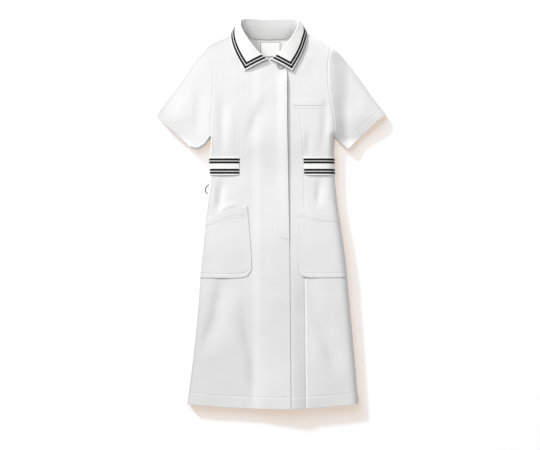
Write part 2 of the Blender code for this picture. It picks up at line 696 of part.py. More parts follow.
def make_hip_pocket(side, collection):
    """Patch pocket from the side seam inwards, made from the front's points moved out."""
    sizes = HIP_POCKETS[side]
    sign = 1 if side == "left" else -1
    top_y, foot_y = sizes["side_ends"]
    rows = np.array([top_y] + [y for y in body_ys() if foot_y < y < top_y] + [foot_y])
    ys = np.interp(np.arange(2 * len(rows) - 1) / 2, np.arange(len(rows)), rows)
    downs = (top_y - ys) / (top_y - foot_y)
    outer = np.column_stack([x_at(SIDES[side], ys), ys])
    inner = along(smooth(sizes["inner"]), downs)
    width = np.linalg.norm(inner[0] - outer[0])
    acrosses = rounded_steps(width, both_ends=False, middle=POCKET_INNER_STEPS) / width
    mouth = along(smooth([outer[0], *sizes["mouth"]]), acrosses)
    foot = along(smooth([outer[-1], *sizes["foot"]]), acrosses)
    s, t = downs[:, None, None], acrosses[None, :, None]
    corners = (1 - s) * ((1 - t) * mouth[0] + t * mouth[-1]) + s * ((1 - t) * foot[0] + t * foot[-1])
    plan = (1 - s) * mouth + s * foot + (1 - t) * outer[:, None] + t * inner[:, None] - corners
    flat = plan.reshape(-1, 2)
    away = 1 - np.clip(distance_to(flat, OUTLINE_STARTS, OUTLINE_ENDS) / FRONT_ROUNDING, 0, 1)
    top = crown(flat)
    upward = np.sqrt(1 - away**2) / (top * (1 - SEAM_HEIGHT_SHARE))
    outward = unit(np.column_stack([sign * away / FRONT_ROUNDING, np.zeros(len(flat)), upward]))
    opening = np.sin(math.pi * t) * (1 - smooth_step(s / POCKET_MOUTH_SHARE)) * POCKET_MOUTH_LIFT
    rise = CLOTH + LAYER_GAP + opening.reshape(-1, 1)
    points = np.column_stack([flat, front(flat, folded=False)]) + outward * rise
    points = raise_edge(points.reshape(plan.shape[:2] + (3,)), 1)
    cloth(f"hip_pocket_{side}", points, collection, flip=side == "right")


def over_front(xy):
    return front(xy, folded=False) + CLOTH + LAYER_GAP


def make_patch(name, box, height, wall, finish, steps, collection):
    """A small rectangle of cloth on a surface."""
    left, right, top, foot = box
    xs, ys = np.linspace(left, right, steps[0] + 1), np.linspace(top, foot, steps[1] + 1)
    plan = np.stack(np.meshgrid(xs, ys), axis=-1)
    cloth(name, on_surface(plan, height), collection, wall, finish, flip=True)


def make_welt(collection):
    """Welt of the chest pocket, across the princess seam."""
    box = (WELT_LEFT, WELT_RIGHT, WELT_TOP, WELT_FOOT)
    steps = (6, 2)
    make_patch("chest_welt", box, over_front, CLOTH, "white_cloth", steps, collection)


def over_back(xy):
    return under(xy) + CLOTH + SEAM_GAP + LABEL_CLOTH


def make_label(collection):
    """Bare label inside the back neck."""
    box = (LABEL_LEFT, LABEL_RIGHT, LABEL_TOP, LABEL_FOOT)
    steps = (3, 2)
    make_patch("neck_label", box, over_back, LABEL_CLOTH, "label_cloth", steps, collection)


def make_button(collection):
    """Flat resin button on the fly, under the edge of the collar."""
    shape = bmesh.new()
    bmesh.ops.create_cone(
        shape,
        cap_ends=True,
        segments=28,
        radius1=BUTTON_RADIUS,
        radius2=BUTTON_RADIUS,
        depth=BUTTON_THICKNESS - LAYER_GAP,
    )
    mesh = bpy.data.meshes.new("neck_button")
    shape.to_mesh(mesh)
    shape.free()
    obj = add_object("neck_button", mesh, "button_resin", collection)
    rim = obj.modifiers.new("Rim", "BEVEL")
    rim.width = 0.0006
    rim.segments = 1
    rim.limit_method = "ANGLE"
    around = np.array(BUTTON_CENTRE) + BUTTON_RADIUS * np.array(
        [(math.cos(a), math.sin(a)) for a in np.linspace(0, 2 * math.pi, 12)]
    )
    seat = (front(around) + LAP_RISE).max() + SEAM_GAP
    obj.location = (*BUTTON_CENTRE, seat + (BUTTON_THICKNESS - LAYER_GAP) / 2)


def make_loop(collection):
    """Thread loop that stands out from the right side seam below the tab."""
    rows = smooth(LOOP_POINTS, per_span=3)
    side_x = x_at(SIDES["right"], rows[:, 0])
    reach = LOOP_THICKNESS / 2 + LOOP_GAP
    z = SEAM_HEIGHT_SHARE * crown(np.column_stack([side_x, rows[:, 0]]))
    curve = bpy.data.curves.new("side_loop", "CURVE")
    curve.dimensions = "3D"
    curve.bevel_depth = LOOP_THICKNESS / 2
    curve.bevel_resolution = 1
    curve.use_fill_caps = True
    spline = curve.splines.new("POLY")
    spline.points.add(len(rows) - 1)
    for point, x, (y, out), height in zip(spline.points, side_x, rows, z):
        point.co = (x - reach - out, y, height, 1)
    add_object("side_loop", curve, "loop_thread", collection)


def main():
    clear_scene()
    collection = bpy.data.collections.new("nurse_uniform_dress")
    bpy.context.scene.collection.children.link(collection)
    for side in ("right", "left"):
        make_side_panel(side, collection)
        make_sleeve(side, collection)
        make_tab(side, collection)
        make_hip_pocket(side, collection)
    make_fly_panel(collection)
    make_underlap_panel(collection)
    make_back(collection)
    make_collar(collection)
    make_welt(collection)
    make_label(collection)
    make_button(collection)
    make_loop(collection)


main()
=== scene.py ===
import math

import bmesh
import bpy
import mathutils
import numpy as np
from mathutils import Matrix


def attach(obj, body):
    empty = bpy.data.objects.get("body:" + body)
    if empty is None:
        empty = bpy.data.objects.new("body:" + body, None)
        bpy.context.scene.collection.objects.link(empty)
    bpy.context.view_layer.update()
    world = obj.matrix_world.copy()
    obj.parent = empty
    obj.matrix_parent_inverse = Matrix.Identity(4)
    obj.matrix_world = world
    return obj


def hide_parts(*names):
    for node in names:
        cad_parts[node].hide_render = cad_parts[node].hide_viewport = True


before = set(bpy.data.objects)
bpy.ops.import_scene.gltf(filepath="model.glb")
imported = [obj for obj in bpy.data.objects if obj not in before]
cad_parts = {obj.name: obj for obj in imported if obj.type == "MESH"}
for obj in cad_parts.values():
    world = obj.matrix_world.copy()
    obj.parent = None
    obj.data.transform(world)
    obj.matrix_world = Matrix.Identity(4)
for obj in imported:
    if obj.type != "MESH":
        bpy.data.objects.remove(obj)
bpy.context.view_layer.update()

# Nurse uniform dress laid out on its back. Metres, +Z up, +Y towards the collar, and right and left
# are the wearer's, so the right is at -X. The shapes follow the same tables as the CAD part.

body = {
    # y, right side seam, right princess seam, left princess seam, left side seam, height of the front
    "sections": (
        (0.208, -0.167, -0.085, 0.088, 0.176, 0.040),
        (0.147, -0.169, -0.087, 0.090, 0.174, 0.036),
        (0.100, -0.168, -0.087, 0.092, 0.176, 0.035),
        (0.001, -0.181, -0.082, 0.092, 0.187, 0.039),
        (-0.073, -0.188, -0.077, 0.092, 0.198, 0.042),
        (-0.161, -0.197, -0.074, 0.092, 0.209, 0.042),
        (-0.265, -0.205, -0.073, 0.094, 0.219, 0.041),
        (-0.375, -0.216, -0.072, 0.095, 0.229, 0.038),
        (-0.524, -0.235, -0.070, 0.097, 0.242, 0.034),
    ),
    "chestHeights": ((0.290, 0.040), (0.380, 0.038), (0.450, 0.036), (0.510, 0.035)),
    "frontRounding": 0.034,
    # how far in the front's edge is rounded, at the wearer's right and left sides
    "sideRoundings": (0.0052, 0.026),
    # over how far the right side's rounding passes into the left side's
    "middleFade": 0.1,
    "edgeRoll": 0.0008,
    "edgeRollIn": 0.0044,
    "edgeRollWidth": 0.0024,
    "underRounding": 0.020,
    "seamHeightShare": 0.42,
    "hemDip": 0.0135,
    "hemDipStart": -0.200,
    "hemMiddle": 0.003,
    "hemHalfWidth": 0.238,
    "backHemRise": 0.004,
    "backHemFade": 0.03,
    "sleeveStart": 0.158,
    "sleeveRuns": (0.150, 0.058),
    "sleeveDrops": (0.010, 0.014),
    # the sleeves lie lowest at the inner end of their cuffs
    "underarmDrop": 0.009,
    "underarmTop": 0.270,
    "underarmFade": 0.080,
    "sleeveFoot": 0.150,
    "sleeveFootFade": 0.060,
    "neckMiddle": -0.0047,
    "topLineShare": 0.7,
    "clothWall": 0.0009,
    "seamGap": 0.00012,
    "fullness": 2.4,
    "unevenness": 0.00045,
    # share of a fold's length over which it runs out at each end
    "foldFade": 0.42,
    # how far front and back part where they are sewn together
    "edgePart": 0.0001,
    # how far the front's hem stands above or below its usual height, by x
    "hemLifts": (
        (-0.40, -0.005), (-0.20, -0.005), (-0.08, -0.0055), (0.0, 0.0),
        (0.06, 0.0065), (0.11, 0.005), (0.17, 0.0), (0.40, 0.0),
    ),
    "hemLiftStart": -0.26,
}
sides = ("Right", "Left")
underarmY = body["sections"][0][0]
hemY = body["sections"][-1][0]

lines = {
    "shoulderRight": ((-0.091, 0.505), (-0.114, 0.493), (-0.170, 0.466), (-0.187, 0.448)),
    "shoulderLeft": ((0.082, 0.505), (0.105, 0.495), (0.135, 0.479), (0.165, 0.459)),
    "armholeRight": (
        (-0.187, 0.448), (-0.175, 0.433), (-0.166, 0.412), (-0.160, 0.380),
        (-0.160, 0.345), (-0.162, 0.304), (-0.166, 0.257), (-0.167, 0.208),
    ),
    "armholeLeft": (
        (0.165, 0.459), (0.161, 0.439), (0.157, 0.414), (0.156, 0.375),
        (0.161, 0.328), (0.169, 0.285), (0.175, 0.246), (0.176, 0.208),
    ),
    "armRight": ((-0.187, 0.448), (-0.208, 0.425), (-0.259, 0.352), (-0.300, 0.298), (-0.317, 0.272)),
    "armLeft": ((0.165, 0.459), (0.185, 0.447), (0.217, 0.410), (0.286, 0.316), (0.317, 0.276)),
    "underarmRight": ((-0.167, 0.208), (-0.182, 0.188), (-0.203, 0.177), (-0.219, 0.180)),
    "underarmLeft": ((0.176, 0.208), (0.193, 0.191), (0.210, 0.176)),
    "cuffRight": ((-0.317, 0.272), (-0.305, 0.257), (-0.265, 0.224), (-0.219, 0.180)),
    "cuffLeft": ((0.317, 0.276), (0.264, 0.228), (0.210, 0.176)),
    "princessRight": ((-0.100, 0.500), (-0.089, 0.422), (-0.084, 0.340), (-0.081, 0.271), (-0.085, 0.208)),
    "princessLeft": (
        (0.096, 0.499), (0.089, 0.422), (0.082, 0.353), (0.078, 0.298), (0.081, 0.252), (0.088, 0.208),
    ),
    "neckFront": (
        (-0.091, 0.505), (-0.084, 0.483), (-0.0715, 0.458),
        (-0.052, 0.436), (-0.030, 0.423), (-0.005, 0.4185),
    ),
    "neckBack": ((-0.091, 0.505), (-0.077, 0.495), (-0.058, 0.489), (-0.005, 0.485)),
}

# Folds: path, its half width to the viewer's left and right when it runs down, and its height, which
# is below zero for a trough
folds = (
    (((-0.139, 0.335), (-0.136, 0.250), (-0.138, 0.150)), 0.009, 0.014, -0.0026),
    (((-0.111, 0.320), (-0.109, 0.240), (-0.114, 0.165)), 0.012, 0.016, 0.0012),
    (((0.004, 0.345), (-0.050, 0.240), (-0.078, 0.165)), 0.013, 0.026, -0.0024),
    (((0.147, 0.330), (0.149, 0.240), (0.144, 0.152)), 0.012, 0.012, -0.0030),
    (((0.100, 0.230), (0.103, 0.150)), 0.010, 0.010, -0.0020),
    (((-0.138, 0.105), (-0.140, 0.050), (-0.150, -0.012)), 0.009, 0.013, -0.0042),
    (((-0.158, 0.104), (-0.161, 0.010)), 0.008, 0.008, 0.0018),
    (((0.128, 0.105), (0.131, 0.060), (0.128, 0.010)), 0.009, 0.012, -0.0034),
    (((0.160, 0.105), (0.158, 0.030)), 0.010, 0.010, 0.0014),
    (((-0.155, -0.002), (-0.118, 0.020), (-0.078, 0.026)), 0.0065, 0.0065, 0.0016),
    (((-0.128, -0.130), (-0.157, -0.293), (-0.200, -0.400)), 0.016, 0.030, -0.0044),
    (((-0.080, -0.210), (-0.066, -0.320), (-0.046, -0.411), (-0.044, -0.545)), 0.020, 0.034, -0.0056),
    (((-0.060, -0.205), (0.040, -0.262)), 0.018, 0.022, 0.0009),
    (((0.110, -0.215), (0.150, -0.345), (0.200, -0.465)), 0.018, 0.030, -0.0048),
    (((-0.197, 0.370), (-0.200, 0.280), (-0.206, 0.195)), 0.016, 0.022, -0.0028),
    (((-0.245, 0.330), (-0.250, 0.235)), 0.016, 0.020, 0.0012),
    (((0.184, 0.340), (0.198, 0.270), (0.205, 0.190)), 0.017, 0.018, -0.0030),
    (((0.178, 0.450), (0.196, 0.400)), 0.010, 0.016, -0.0018),
    (((0.250, 0.330), (0.262, 0.245)), 0.016, 0.020, 0.0014),
    (((-0.100, 0.440), (-0.060, 0.370)), 0.016, 0.022, -0.0012),
    (((0.120, 0.440), (0.105, 0.350)), 0.018, 0.018, -0.0010),
    (((-0.020, 0.110), (-0.030, -0.060)), 0.022, 0.030, -0.0010),
)

# Points on each span of the smooth lines
spans = {"outline": 14, "crown": 20, "hemLift": 12, "fold": 5}

# Long, shallow unevenness of laid cloth: strength, then x, y and shift of each of two sines
waves = (
    (1.0, 31, 17, 0.6, 9, -23, 1.1),
    (0.5, 57, -21, 2.0, 14, 41, 0.0),
    (0.25, 88, 63, 0.3, 37, -74, 0.8),
)


def smoothStep(share):
    share = np.clip(share, 0, 1)
    return share * share * (3 - 2 * share)


def bell(distance, width):
    return np.exp(-((distance / width) ** 2))


def unit(vectors):
    return vectors / np.maximum(np.linalg.norm(vectors, axis=-1, keepdims=True), 1e-12)


def smoothLine(points, perSpan=spans["outline"]):
    # Catmull-Rom through the points
    p = np.asarray(points, float)
    p = np.vstack([2 * p[0] - p[1], p, 2 * p[-1] - p[-2]])
    t = np.linspace(0, 1, perSpan, endpoint=False)[:, None]
    curve = [
        0.5 * (2 * b + (c - a) * t + (2 * a - 5 * b + 4 * c - d) * t**2 + (3 * b - a - 3 * c + d) * t**3)
        for a, b, c, d in zip(p, p[1:], p[2:], p[3:])
    ]
    return np.vstack(curve + [p[-2:-1]])


def runOf(line):
    steps = np.linalg.norm(np.diff(line, axis=0), axis=1)
    return np.concatenate([[0], np.cumsum(steps)])


def alongLine(line, shares):
    run = runOf(line)
    return np.stack([np.interp(shares, run / run[-1], line[:, k]) for k in range(line.shape[1])], axis=-1)


def xAt(line, y):
    order = np.argsort(line[:, 1])
    return np.interp(y, line[order, 1], line[order, 0])


def signedRun(line, xy):
    # distance from a line, to one side above zero, and how far along it the nearest place is
    a, run = line[:-1], np.diff(line, axis=0)
    lengths = np.linalg.norm(run, axis=1)
    share = np.clip(((xy[:, None] - a) * run).sum(2) / lengths**2, 0, 1)
    gap = xy[:, None] - a - share[..., None] * run
    distance = np.linalg.norm(gap, axis=2)
    pick = distance.argmin(axis=1)
    row = np.arange(len(xy))
    crossed = run[pick, 0] * gap[row, pick, 1] - run[pick, 1] * gap[row, pick, 0]
    along = (runOf(line)[:-1][pick] + share[row, pick] * lengths[pick]) / lengths.sum()
    return distance[row, pick] * np.sign(crossed), along


def distanceTo(xy, starts, ends):
    runs = ends - starts
    squares = np.maximum((runs**2).sum(1), 1e-12)
    found = np.empty(len(xy))
    # a few thousand points at a time, so that it needs little memory
    batch = 4000
    for first in range(0, len(xy), batch):
        part = xy[first : first + batch]
        share = ((part[:, None] - starts) * runs).sum(2) / squares
        nearest = starts + np.clip(share, 0, 1)[..., None] * runs
        found[first : first + batch] = np.linalg.norm(part[:, None] - nearest, axis=2).min(1)
    return found


def mirrored(line):
    line = np.array(line, float)
    line[:, 0] = 2 * body["neckMiddle"] - line[:, 0]
    return line


curves = {name: smoothLine(points) for name, points in lines.items()}
curves["neckFrontLeft"] = mirrored(curves["neckFront"])
curves["neckBackLeft"] = mirrored(curves["neckBack"])
for columnName, column in (("sideRight", 1), ("seamRight", 2), ("seamLeft", 3), ("sideLeft", 4)):
    curves[columnName] = smoothLine([(row[column], row[0]) for row in body["sections"]])

outline = [curves[n + s] for s in sides for n in ("shoulder", "arm", "underarm", "side")]
outlineStarts = np.vstack([line[:-1] for line in outline])
outlineEnds = np.vstack([line[1:] for line in outline])

front = {
    "flyEdge": (
        (0.0545, -0.560), (0.0520, -0.293), (0.0500, -0.067), (0.0492, -0.018),
        (0.0466, 0.120), (0.0440, 0.257), (0.0436, 0.4165),
    ),
    "underlapEdge": -0.0193,
    "lapRise": 0.0023,
    "lapStart": -0.055,
    "lapFull": -0.026,
    # how far the fly's free edge stands up, by y
    "flares": (
        (-0.60, -0.0007), (-0.10, -0.0004), (-0.055, 0.0006), (0.0, 0.0018),
        (0.12, 0.0034), (0.26, 0.0046), (0.365, 0.0052), (0.395, 0.0),
    ),
    "flareWidth": 0.032,
}
pleat = {
    "top": -0.100,
    "fade": 0.160,
    "depth": 0.0056,
    "bend": 1.3,
    "startGap": 0.006,
    "stepWidth": 0.0040,
    "stepShare": 0.26,
    "riseWidth": 0.055,
}


def flyEdge(y):
    xs, ys = np.array(front["flyEdge"]).T
    return np.interp(y, ys, xs)


crownPoints = sorted([(row[0], row[5]) for row in body["sections"]] + list(body["chestHeights"]))
crownLine = smoothLine(crownPoints, spans["crown"])
hemLiftLine = smoothLine(body["hemLifts"], spans["hemLift"])


def crownHeight(xy):
    top = np.interp(xy[:, 1], crownLine[:, 0], crownLine[:, 1])
    run = np.where(xy[:, 0] < 0, *body["sleeveRuns"])
    onArm = smoothStep((np.abs(xy[:, 0]) - body["sleeveStart"]) / run)
    above = smoothStep((xy[:, 1] - body["sleeveFoot"]) / body["sleeveFootFade"])
    lift = np.interp(xy[:, 0], hemLiftLine[:, 0], hemLiftLine[:, 1])
    nearHem = smoothStep((body["hemLiftStart"] - xy[:, 1]) / (body["hemLiftStart"] - hemY))
    low = smoothStep((body["underarmTop"] - xy[:, 1]) / body["underarmFade"])
    drop = np.where(xy[:, 0] < 0, *body["sleeveDrops"]) + body["underarmDrop"] * low
    return top - drop * onArm * above + lift * nearHem


foldLines = [(smoothLine(path, spans["fold"]), *shape) for path, *shape in folds]


def foldRise(xy):
    # each fold is deepest in its middle and runs out at both ends
    rise = np.zeros(len(xy))
    for line, leftWidth, rightWidth, height in foldLines:
        away, along = signedRun(line, xy)
        width = np.where(away > 0, rightWidth, leftWidth)
        rise += height * bell(away, width) * smoothStep(np.minimum(along, 1 - along) / body["foldFade"])
    return rise


def pleatDrop(xy):
    # below the fly's end the cloth falls away towards the left princess seam, then steps up again
    seam = xAt(curves["seamLeft"], xy[:, 1])
    start = flyEdge(xy[:, 1]) + pleat["startGap"]
    falling = np.clip((xy[:, 0] - start) / (seam - start), 0, 1) ** pleat["bend"]
    past = xy[:, 0] - seam
    step, rest = smoothStep(past / pleat["stepWidth"]), smoothStep(past / pleat["riseWidth"])
    rising = 1 - pleat["stepShare"] * step - (1 - pleat["stepShare"]) * rest
    down = smoothStep((pleat["top"] - xy[:, 1]) / pleat["fade"])
    return -pleat["depth"] * falling * rising * down


def undulation(xy):
    x, y = xy.T
    rises = (s * np.sin(a * x + b * y + c) * np.sin(d * x + e * y + f) for s, a, b, c, d, e, f in waves)
    return body["unevenness"] * sum(rises)


def rounded(away, fullness):
    # from the seam's height at a distance of 0 to the full height, flatter on top than a circle
    return (1 - away**fullness) ** (1 / fullness)


def fromEdge(xy):
    # distance from the outline, 0 on the sewn edges themselves
    return np.maximum(distanceTo(xy, outlineStarts, outlineEnds) - body["seamGap"], 0)


def edgeShare(xy):
    # 1 on the outline, falling to 0 where the front is flat
    return 1 - np.clip(fromEdge(xy) / body["frontRounding"], 0, 1)


def frontHeight(xy, folded=True):
    distance = fromEdge(xy)
    onLeft = smoothStep(xy[:, 0] / body["middleFade"] + 0.5)
    radius = body["sideRoundings"][0] * (1 - onLeft) + body["sideRoundings"][1] * onLeft
    away = 1 - np.clip(distance / radius, 0, 1)
    top = crownHeight(xy)
    seamZ = body["seamHeightShare"] * top
    rise = 0
    if folded:
        rise = (foldRise(xy) + undulation(xy)) * np.clip(distance / body["frontRounding"], 0, 1)
        rise = rise + pleatDrop(xy) * (1 - away)
    roll = body["edgeRoll"] * bell(distance - body["edgeRollIn"], body["edgeRollWidth"]) * (1 - onLeft)
    return seamZ + (top - seamZ) * rounded(away, body["fullness"]) + roll + rise


def underHeight(xy):
    away = 1 - np.clip(fromEdge(xy) / body["underRounding"], 0, 1)
    return body["seamHeightShare"] * crownHeight(xy) * (1 - np.sqrt(1 - away**2))


def hemDipped(points):
    across = 1 - ((points[..., 0] - body["hemMiddle"]) / body["hemHalfWidth"]) ** 2
    down = np.clip((body["hemDipStart"] - points[..., 1]) / (body["hemDipStart"] - hemY), 0, 1)
    lowered = points.copy()
    lowered[..., 1] -= body["hemDip"] * across * down**2
    return lowered


def laid(plan, height):
    # the heights come before the hem's dip, so that sewn edges still meet
    flat = plan.reshape(-1, 2)
    return hemDipped(np.column_stack([flat, height(flat)]).reshape(plan.shape[:-1] + (3,)))


# Grids: how far apart the rows and columns stand. They are close together at seams, at rounded sides
# and at a stitched hem
grid = {
    "roundAngles": (0, 4, 8, 12, 16, 20, 24, 28, 32, 36, 41, 46, 52, 58, 66, 77, 90),
    "seamSteps": (0, 0.0005, 0.0010, 0.0016, 0.0024, 0.0036, 0.0055, 0.0085),
    "step": 0.0038,
    "hemDepth": 0.032,
    "cuffDepth": 0.020,
    "stitchSteps": (-0.0045, -0.0025, -0.0013, -0.0006, 0, 0.0006, 0.0013, 0.0025, 0.0045),
    "edgeSteps": (0, 0.0006, 0.0014, 0.0026, 0.0045),
    "hemBetween": (0.0085, 0.0125, 0.0165, 0.0205, 0.0245),
    "cuffBetween": (0.0080, 0.0120),
    # how many even steps lie between the given ones
    "armCount": 52,
    "downCount": 175,
    "sideCount": 14,
    "centreCount": 30,
    "backCount": 32,
    "sleeveCount": 26,
    # a sleeve shorter than this has its cuff's steps pressed together
    "sleeveRoom": 0.062,
}
roundSteps = body["frontRounding"] * (1 - np.cos(np.radians(grid["roundAngles"])))
seamSteps = np.array(grid["seamSteps"])
stitchSteps = np.array(grid["stitchSteps"])
# the stitch line is the middle one of the steps round it
stitchAt = len(stitchSteps) // 2
hemSteps = np.concatenate([grid["edgeSteps"], grid["hemBetween"], grid["hemDepth"] + stitchSteps])
cuffSteps = np.concatenate([grid["edgeSteps"], grid["cuffBetween"], grid["cuffDepth"] + stitchSteps])


def stepsAcross(total, first, last, count):
    # distances across a stretch: the given steps at both ends, and even ones between
    between = np.linspace(first[-1], total - last[-1], count + 1)[1:-1]
    return np.concatenate([first, between, total - last[::-1]])


armholeRun = runOf(curves["armholeRight"])[-1]
armShares = stepsAcross(armholeRun, roundSteps, roundSteps, grid["armCount"]) / armholeRun
downSteps = stepsAcross(underarmY - hemY, np.array([0.0, grid["step"]]), hemSteps, grid["downCount"])
bodyYs = underarmY - downSteps[1:]


def rowsDown(upper, lower):
    lowerRows = np.column_stack([xAt(curves[lower], bodyYs), bodyYs])
    return np.vstack([alongLine(curves[upper], armShares), lowerRows])


def topFades():
    shares = np.concatenate([armShares, np.ones(len(bodyYs))])
    return (1 - smoothStep(shares / body["topLineShare"]))[:, None, None]


def gridBetween(first, last, shares, top=None):
    plan = first[:, None] + (last - first)[:, None] * shares[..., None]
    if top is not None:
        plan = plan + (top - plan[0])[None] * topFades()
    return plan


def sharesAcross(first, last, firstSteps, lastSteps, count):
    widths = np.linalg.norm(last - first, axis=1)
    return np.array([stepsAcross(width, firstSteps, lastSteps, count) / width for width in widths])


def filledBetween(top, foot, first, last, s, t):
    # a surface between four edge lines, s from top to foot and t from first to last
    corners = (1 - s) * ((1 - t) * top[0] + t * top[-1]) + s * ((1 - t) * foot[0] + t * foot[-1])
    return (1 - s) * top + s * foot + (1 - t) * first + t * last - corners


def sidePlan(side):
    outer, inner = rowsDown("armhole" + side, "side" + side), rowsDown("princess" + side, "seam" + side)
    shares = sharesAcross(outer, inner, roundSteps, seamSteps, grid["sideCount"])
    shoulder = curves["shoulder" + side]
    beyond = shoulder[np.abs(shoulder[:, 0]) > abs(inner[0, 0])]
    top = alongLine(np.vstack([inner[:1], beyond])[::-1], shares[0])
    return gridBetween(outer, inner, shares, top)


# Meshes from grids of points
def normalsOf(points, facing, wrapped=False, upColumns=None):
    if wrapped:
        across = np.roll(points, -1, axis=1) - np.roll(points, 1, axis=1)
    else:
        across = np.gradient(points, axis=1)
    normals = unit(np.cross(np.gradient(points, axis=0), across))
    looked = normals[:, upColumns] if upColumns is not None else normals
    turned = looked[..., 2].mean() * facing < 0
    return (-normals if turned else normals), turned


def borderLoops(rows, columns, wrapped):
    index = np.arange(rows * columns).reshape(rows, columns)
    if wrapped:
        return [index[0, ::-1], index[-1]]
    return [np.concatenate([index[:-1, 0], index[-1, :-1], index[:0:-1, -1], index[0, :0:-1]])]


rimAngles = (45, 90, 135)


def intoScene(name, data):
    obj = bpy.data.objects.new(name, data)
    bpy.context.scene.collection.objects.link(obj)
    return obj


def runAlong(points, axis):
    # how far along the cloth each point lies from its border
    steps = np.cumsum(np.linalg.norm(np.diff(points, axis=axis), axis=2), axis=axis)
    return np.concatenate([np.zeros_like(np.take(steps, [0], axis=axis)), steps], axis=axis)


def unrolled(points, wrapped):
    # where each point would lie on the flat cloth
    closedPoints = np.concatenate([points, points[:, :1]], axis=1) if wrapped else points
    across = runAlong(closedPoints, 1)
    down = np.repeat(runAlong(points, 0).mean(axis=1, keepdims=True), across.shape[1], axis=1)
    return np.stack([across - across[:, -1:] / 2, -down], axis=-1)


def clothObject(name, points, wall, finish, facing=1, wrapped=False, upColumns=None, values=None):
    # closed wall of cloth: its outside on the points, its thickness inwards and rounded borders
    rows, columns = points.shape[:2]
    normals, turned = normalsOf(points, facing, wrapped, upColumns)
    count = rows * columns
    outer, across = points.reshape(-1, 3), normals.reshape(-1, 3)
    inner = outer - across * wall
    index = np.arange(count).reshape(rows, columns)
    right = np.roll(index, -1, axis=1) if wrapped else index[:, 1:]
    left = index if wrapped else index[:, :-1]
    quads = np.stack([left[:-1], left[1:], right[1:], right[:-1]], axis=-1).reshape(-1, 4)
    rowsAndColumns = np.meshgrid(np.arange(rows - 1), np.arange(left.shape[1]), indexing="ij")
    corners = np.stack(rowsAndColumns, axis=-1).reshape(-1, 2)
    cornerRows = corners[:, :1] + np.array([0, 1, 1, 0])
    cornerColumns = corners[:, 1:] + np.array([0, 0, 1, 1])
    flat = unrolled(points, wrapped)
    flatUv = flat[cornerRows, cornerColumns]
    flatVertex = flat[:, :columns].reshape(-1, 2)
    faces, uvs, extra, extraFrom = [quads, quads[:, ::-1] + count], [flatUv, flatUv[:, ::-1]], [], []
    grown = 2 * count
    inward = np.zeros((rows, columns, 3))
    inward[0] += points[1] - points[0]
    inward[-1] += points[-2] - points[-1]
    if not wrapped:
        for column, beside in ((0, 1), (-1, -2)):
            strength = np.linalg.norm(inward[:, column], axis=1, keepdims=True).clip(1e-4)
            inward[:, column] += unit(points[:, beside] - points[:, column]) * strength
    inward = inward.reshape(-1, 3)
    for loop in borderLoops(rows, columns, wrapped):
        away = unit((inward[loop] * across[loop]).sum(1, keepdims=True) * across[loop] - inward[loop])
        rings = [loop]
        for angle in rimAngles:
            cos, sin = math.cos(math.radians(angle)), math.sin(math.radians(angle))
            extra.append(outer[loop] - across[loop] * wall / 2 * (1 - cos) + away * wall / 2 * sin)
            extraFrom.append(loop)
            rings.append(np.arange(grown, grown + len(loop)))
            grown += len(loop)
        rings.append(loop + count)
        for upper, lower in zip(rings, rings[1:]):
            nextUpper, nextLower = np.roll(upper, -1), np.roll(lower, -1)
            faces.append(np.stack([nextUpper, upper, lower, nextLower], axis=-1))
            here, there = flatVertex[loop], flatVertex[np.roll(loop, -1)]
            uvs.append(np.stack([there, here, here, there], axis=1))
    vertices = np.vstack([outer, inner, *extra])
    faces, uvs = np.vstack(faces), np.concatenate(uvs)
    if turned:
        faces, uvs = faces[:, ::-1], uvs[:, ::-1]
    mesh = bpy.data.meshes.new(name)
    mesh.vertices.add(len(vertices))
    mesh.vertices.foreach_set("co", vertices.astype(np.float32).ravel())
    mesh.loops.add(faces.size)
    mesh.loops.foreach_set("vertex_index", faces.astype(np.int32).ravel())
    mesh.polygons.add(len(faces))
    mesh.polygons.foreach_set("loop_start", np.arange(0, faces.size, 4, dtype=np.int32))
    layer = mesh.uv_layers.new(name="cloth")
    layer.data.foreach_set("uv", uvs.astype(np.float32).ravel())
    for label, value in (values or {}).items():
        attribute = mesh.attributes.new(label, "FLOAT", "POINT")
        value = value.reshape(-1)
        value = np.concatenate([value, value, *[value[rim] for rim in extraFrom]])
        attribute.data.foreach_set("value", value.astype(np.float32))
    mesh.update(calc_edges=True)
    mesh.validate()
    mesh.shade_smooth()
    mesh.materials.append(finish)
    return intoScene(name, mesh)


def runsFromBorders(points):
    across, down = runAlong(points, 1), runAlong(points, 0)
    return {"first": across, "last": across[:, -1:] - across, "top": down, "foot": down[-1:] - down}


relief = {
    "seamDepth": 0.0013,
    "seamWidth": 0.0013,
    "seamPuff": 0.0004,
    "puffAway": 0.0055,
    "puffWidth": 0.003,
    "hemRise": 0.00025,
    "hemStep": 0.002,
    "stitchDepth": 0.0004,
    "stitchWidth": 0.0010,
    # how far the thread stands on the cloth
    "stitchLift": 0.0002,
}


def seam(strength):
    # groove of a sewn seam, with the cloth puffed up beside it
    def shape(run):
        groove = relief["seamDepth"] * bell(run, relief["seamWidth"])
        return strength * (relief["seamPuff"] * bell(run - relief["puffAway"], relief["puffWidth"]) - groove)

    return shape


def hemmed(depth):
    # doubled cloth up to the stitch line, which draws it down a little
    def shape(run):
        doubled = relief["hemRise"] * smoothStep((depth - run) / relief["hemStep"] + 0.5)
        return doubled - relief["stitchDepth"] * bell(run - depth, relief["stitchWidth"])

    return shape


def relieved(points, facing, borders, wrapped=False, upColumns=None):
    # moves the points along their normals by what each border asks
    runs = runsFromBorders(points)
    normals, _ = normalsOf(points, facing, wrapped, upColumns)
    moved = sum(shape(runs[border]) for border, shape in borders.items())
    return points + normals * moved[..., None]


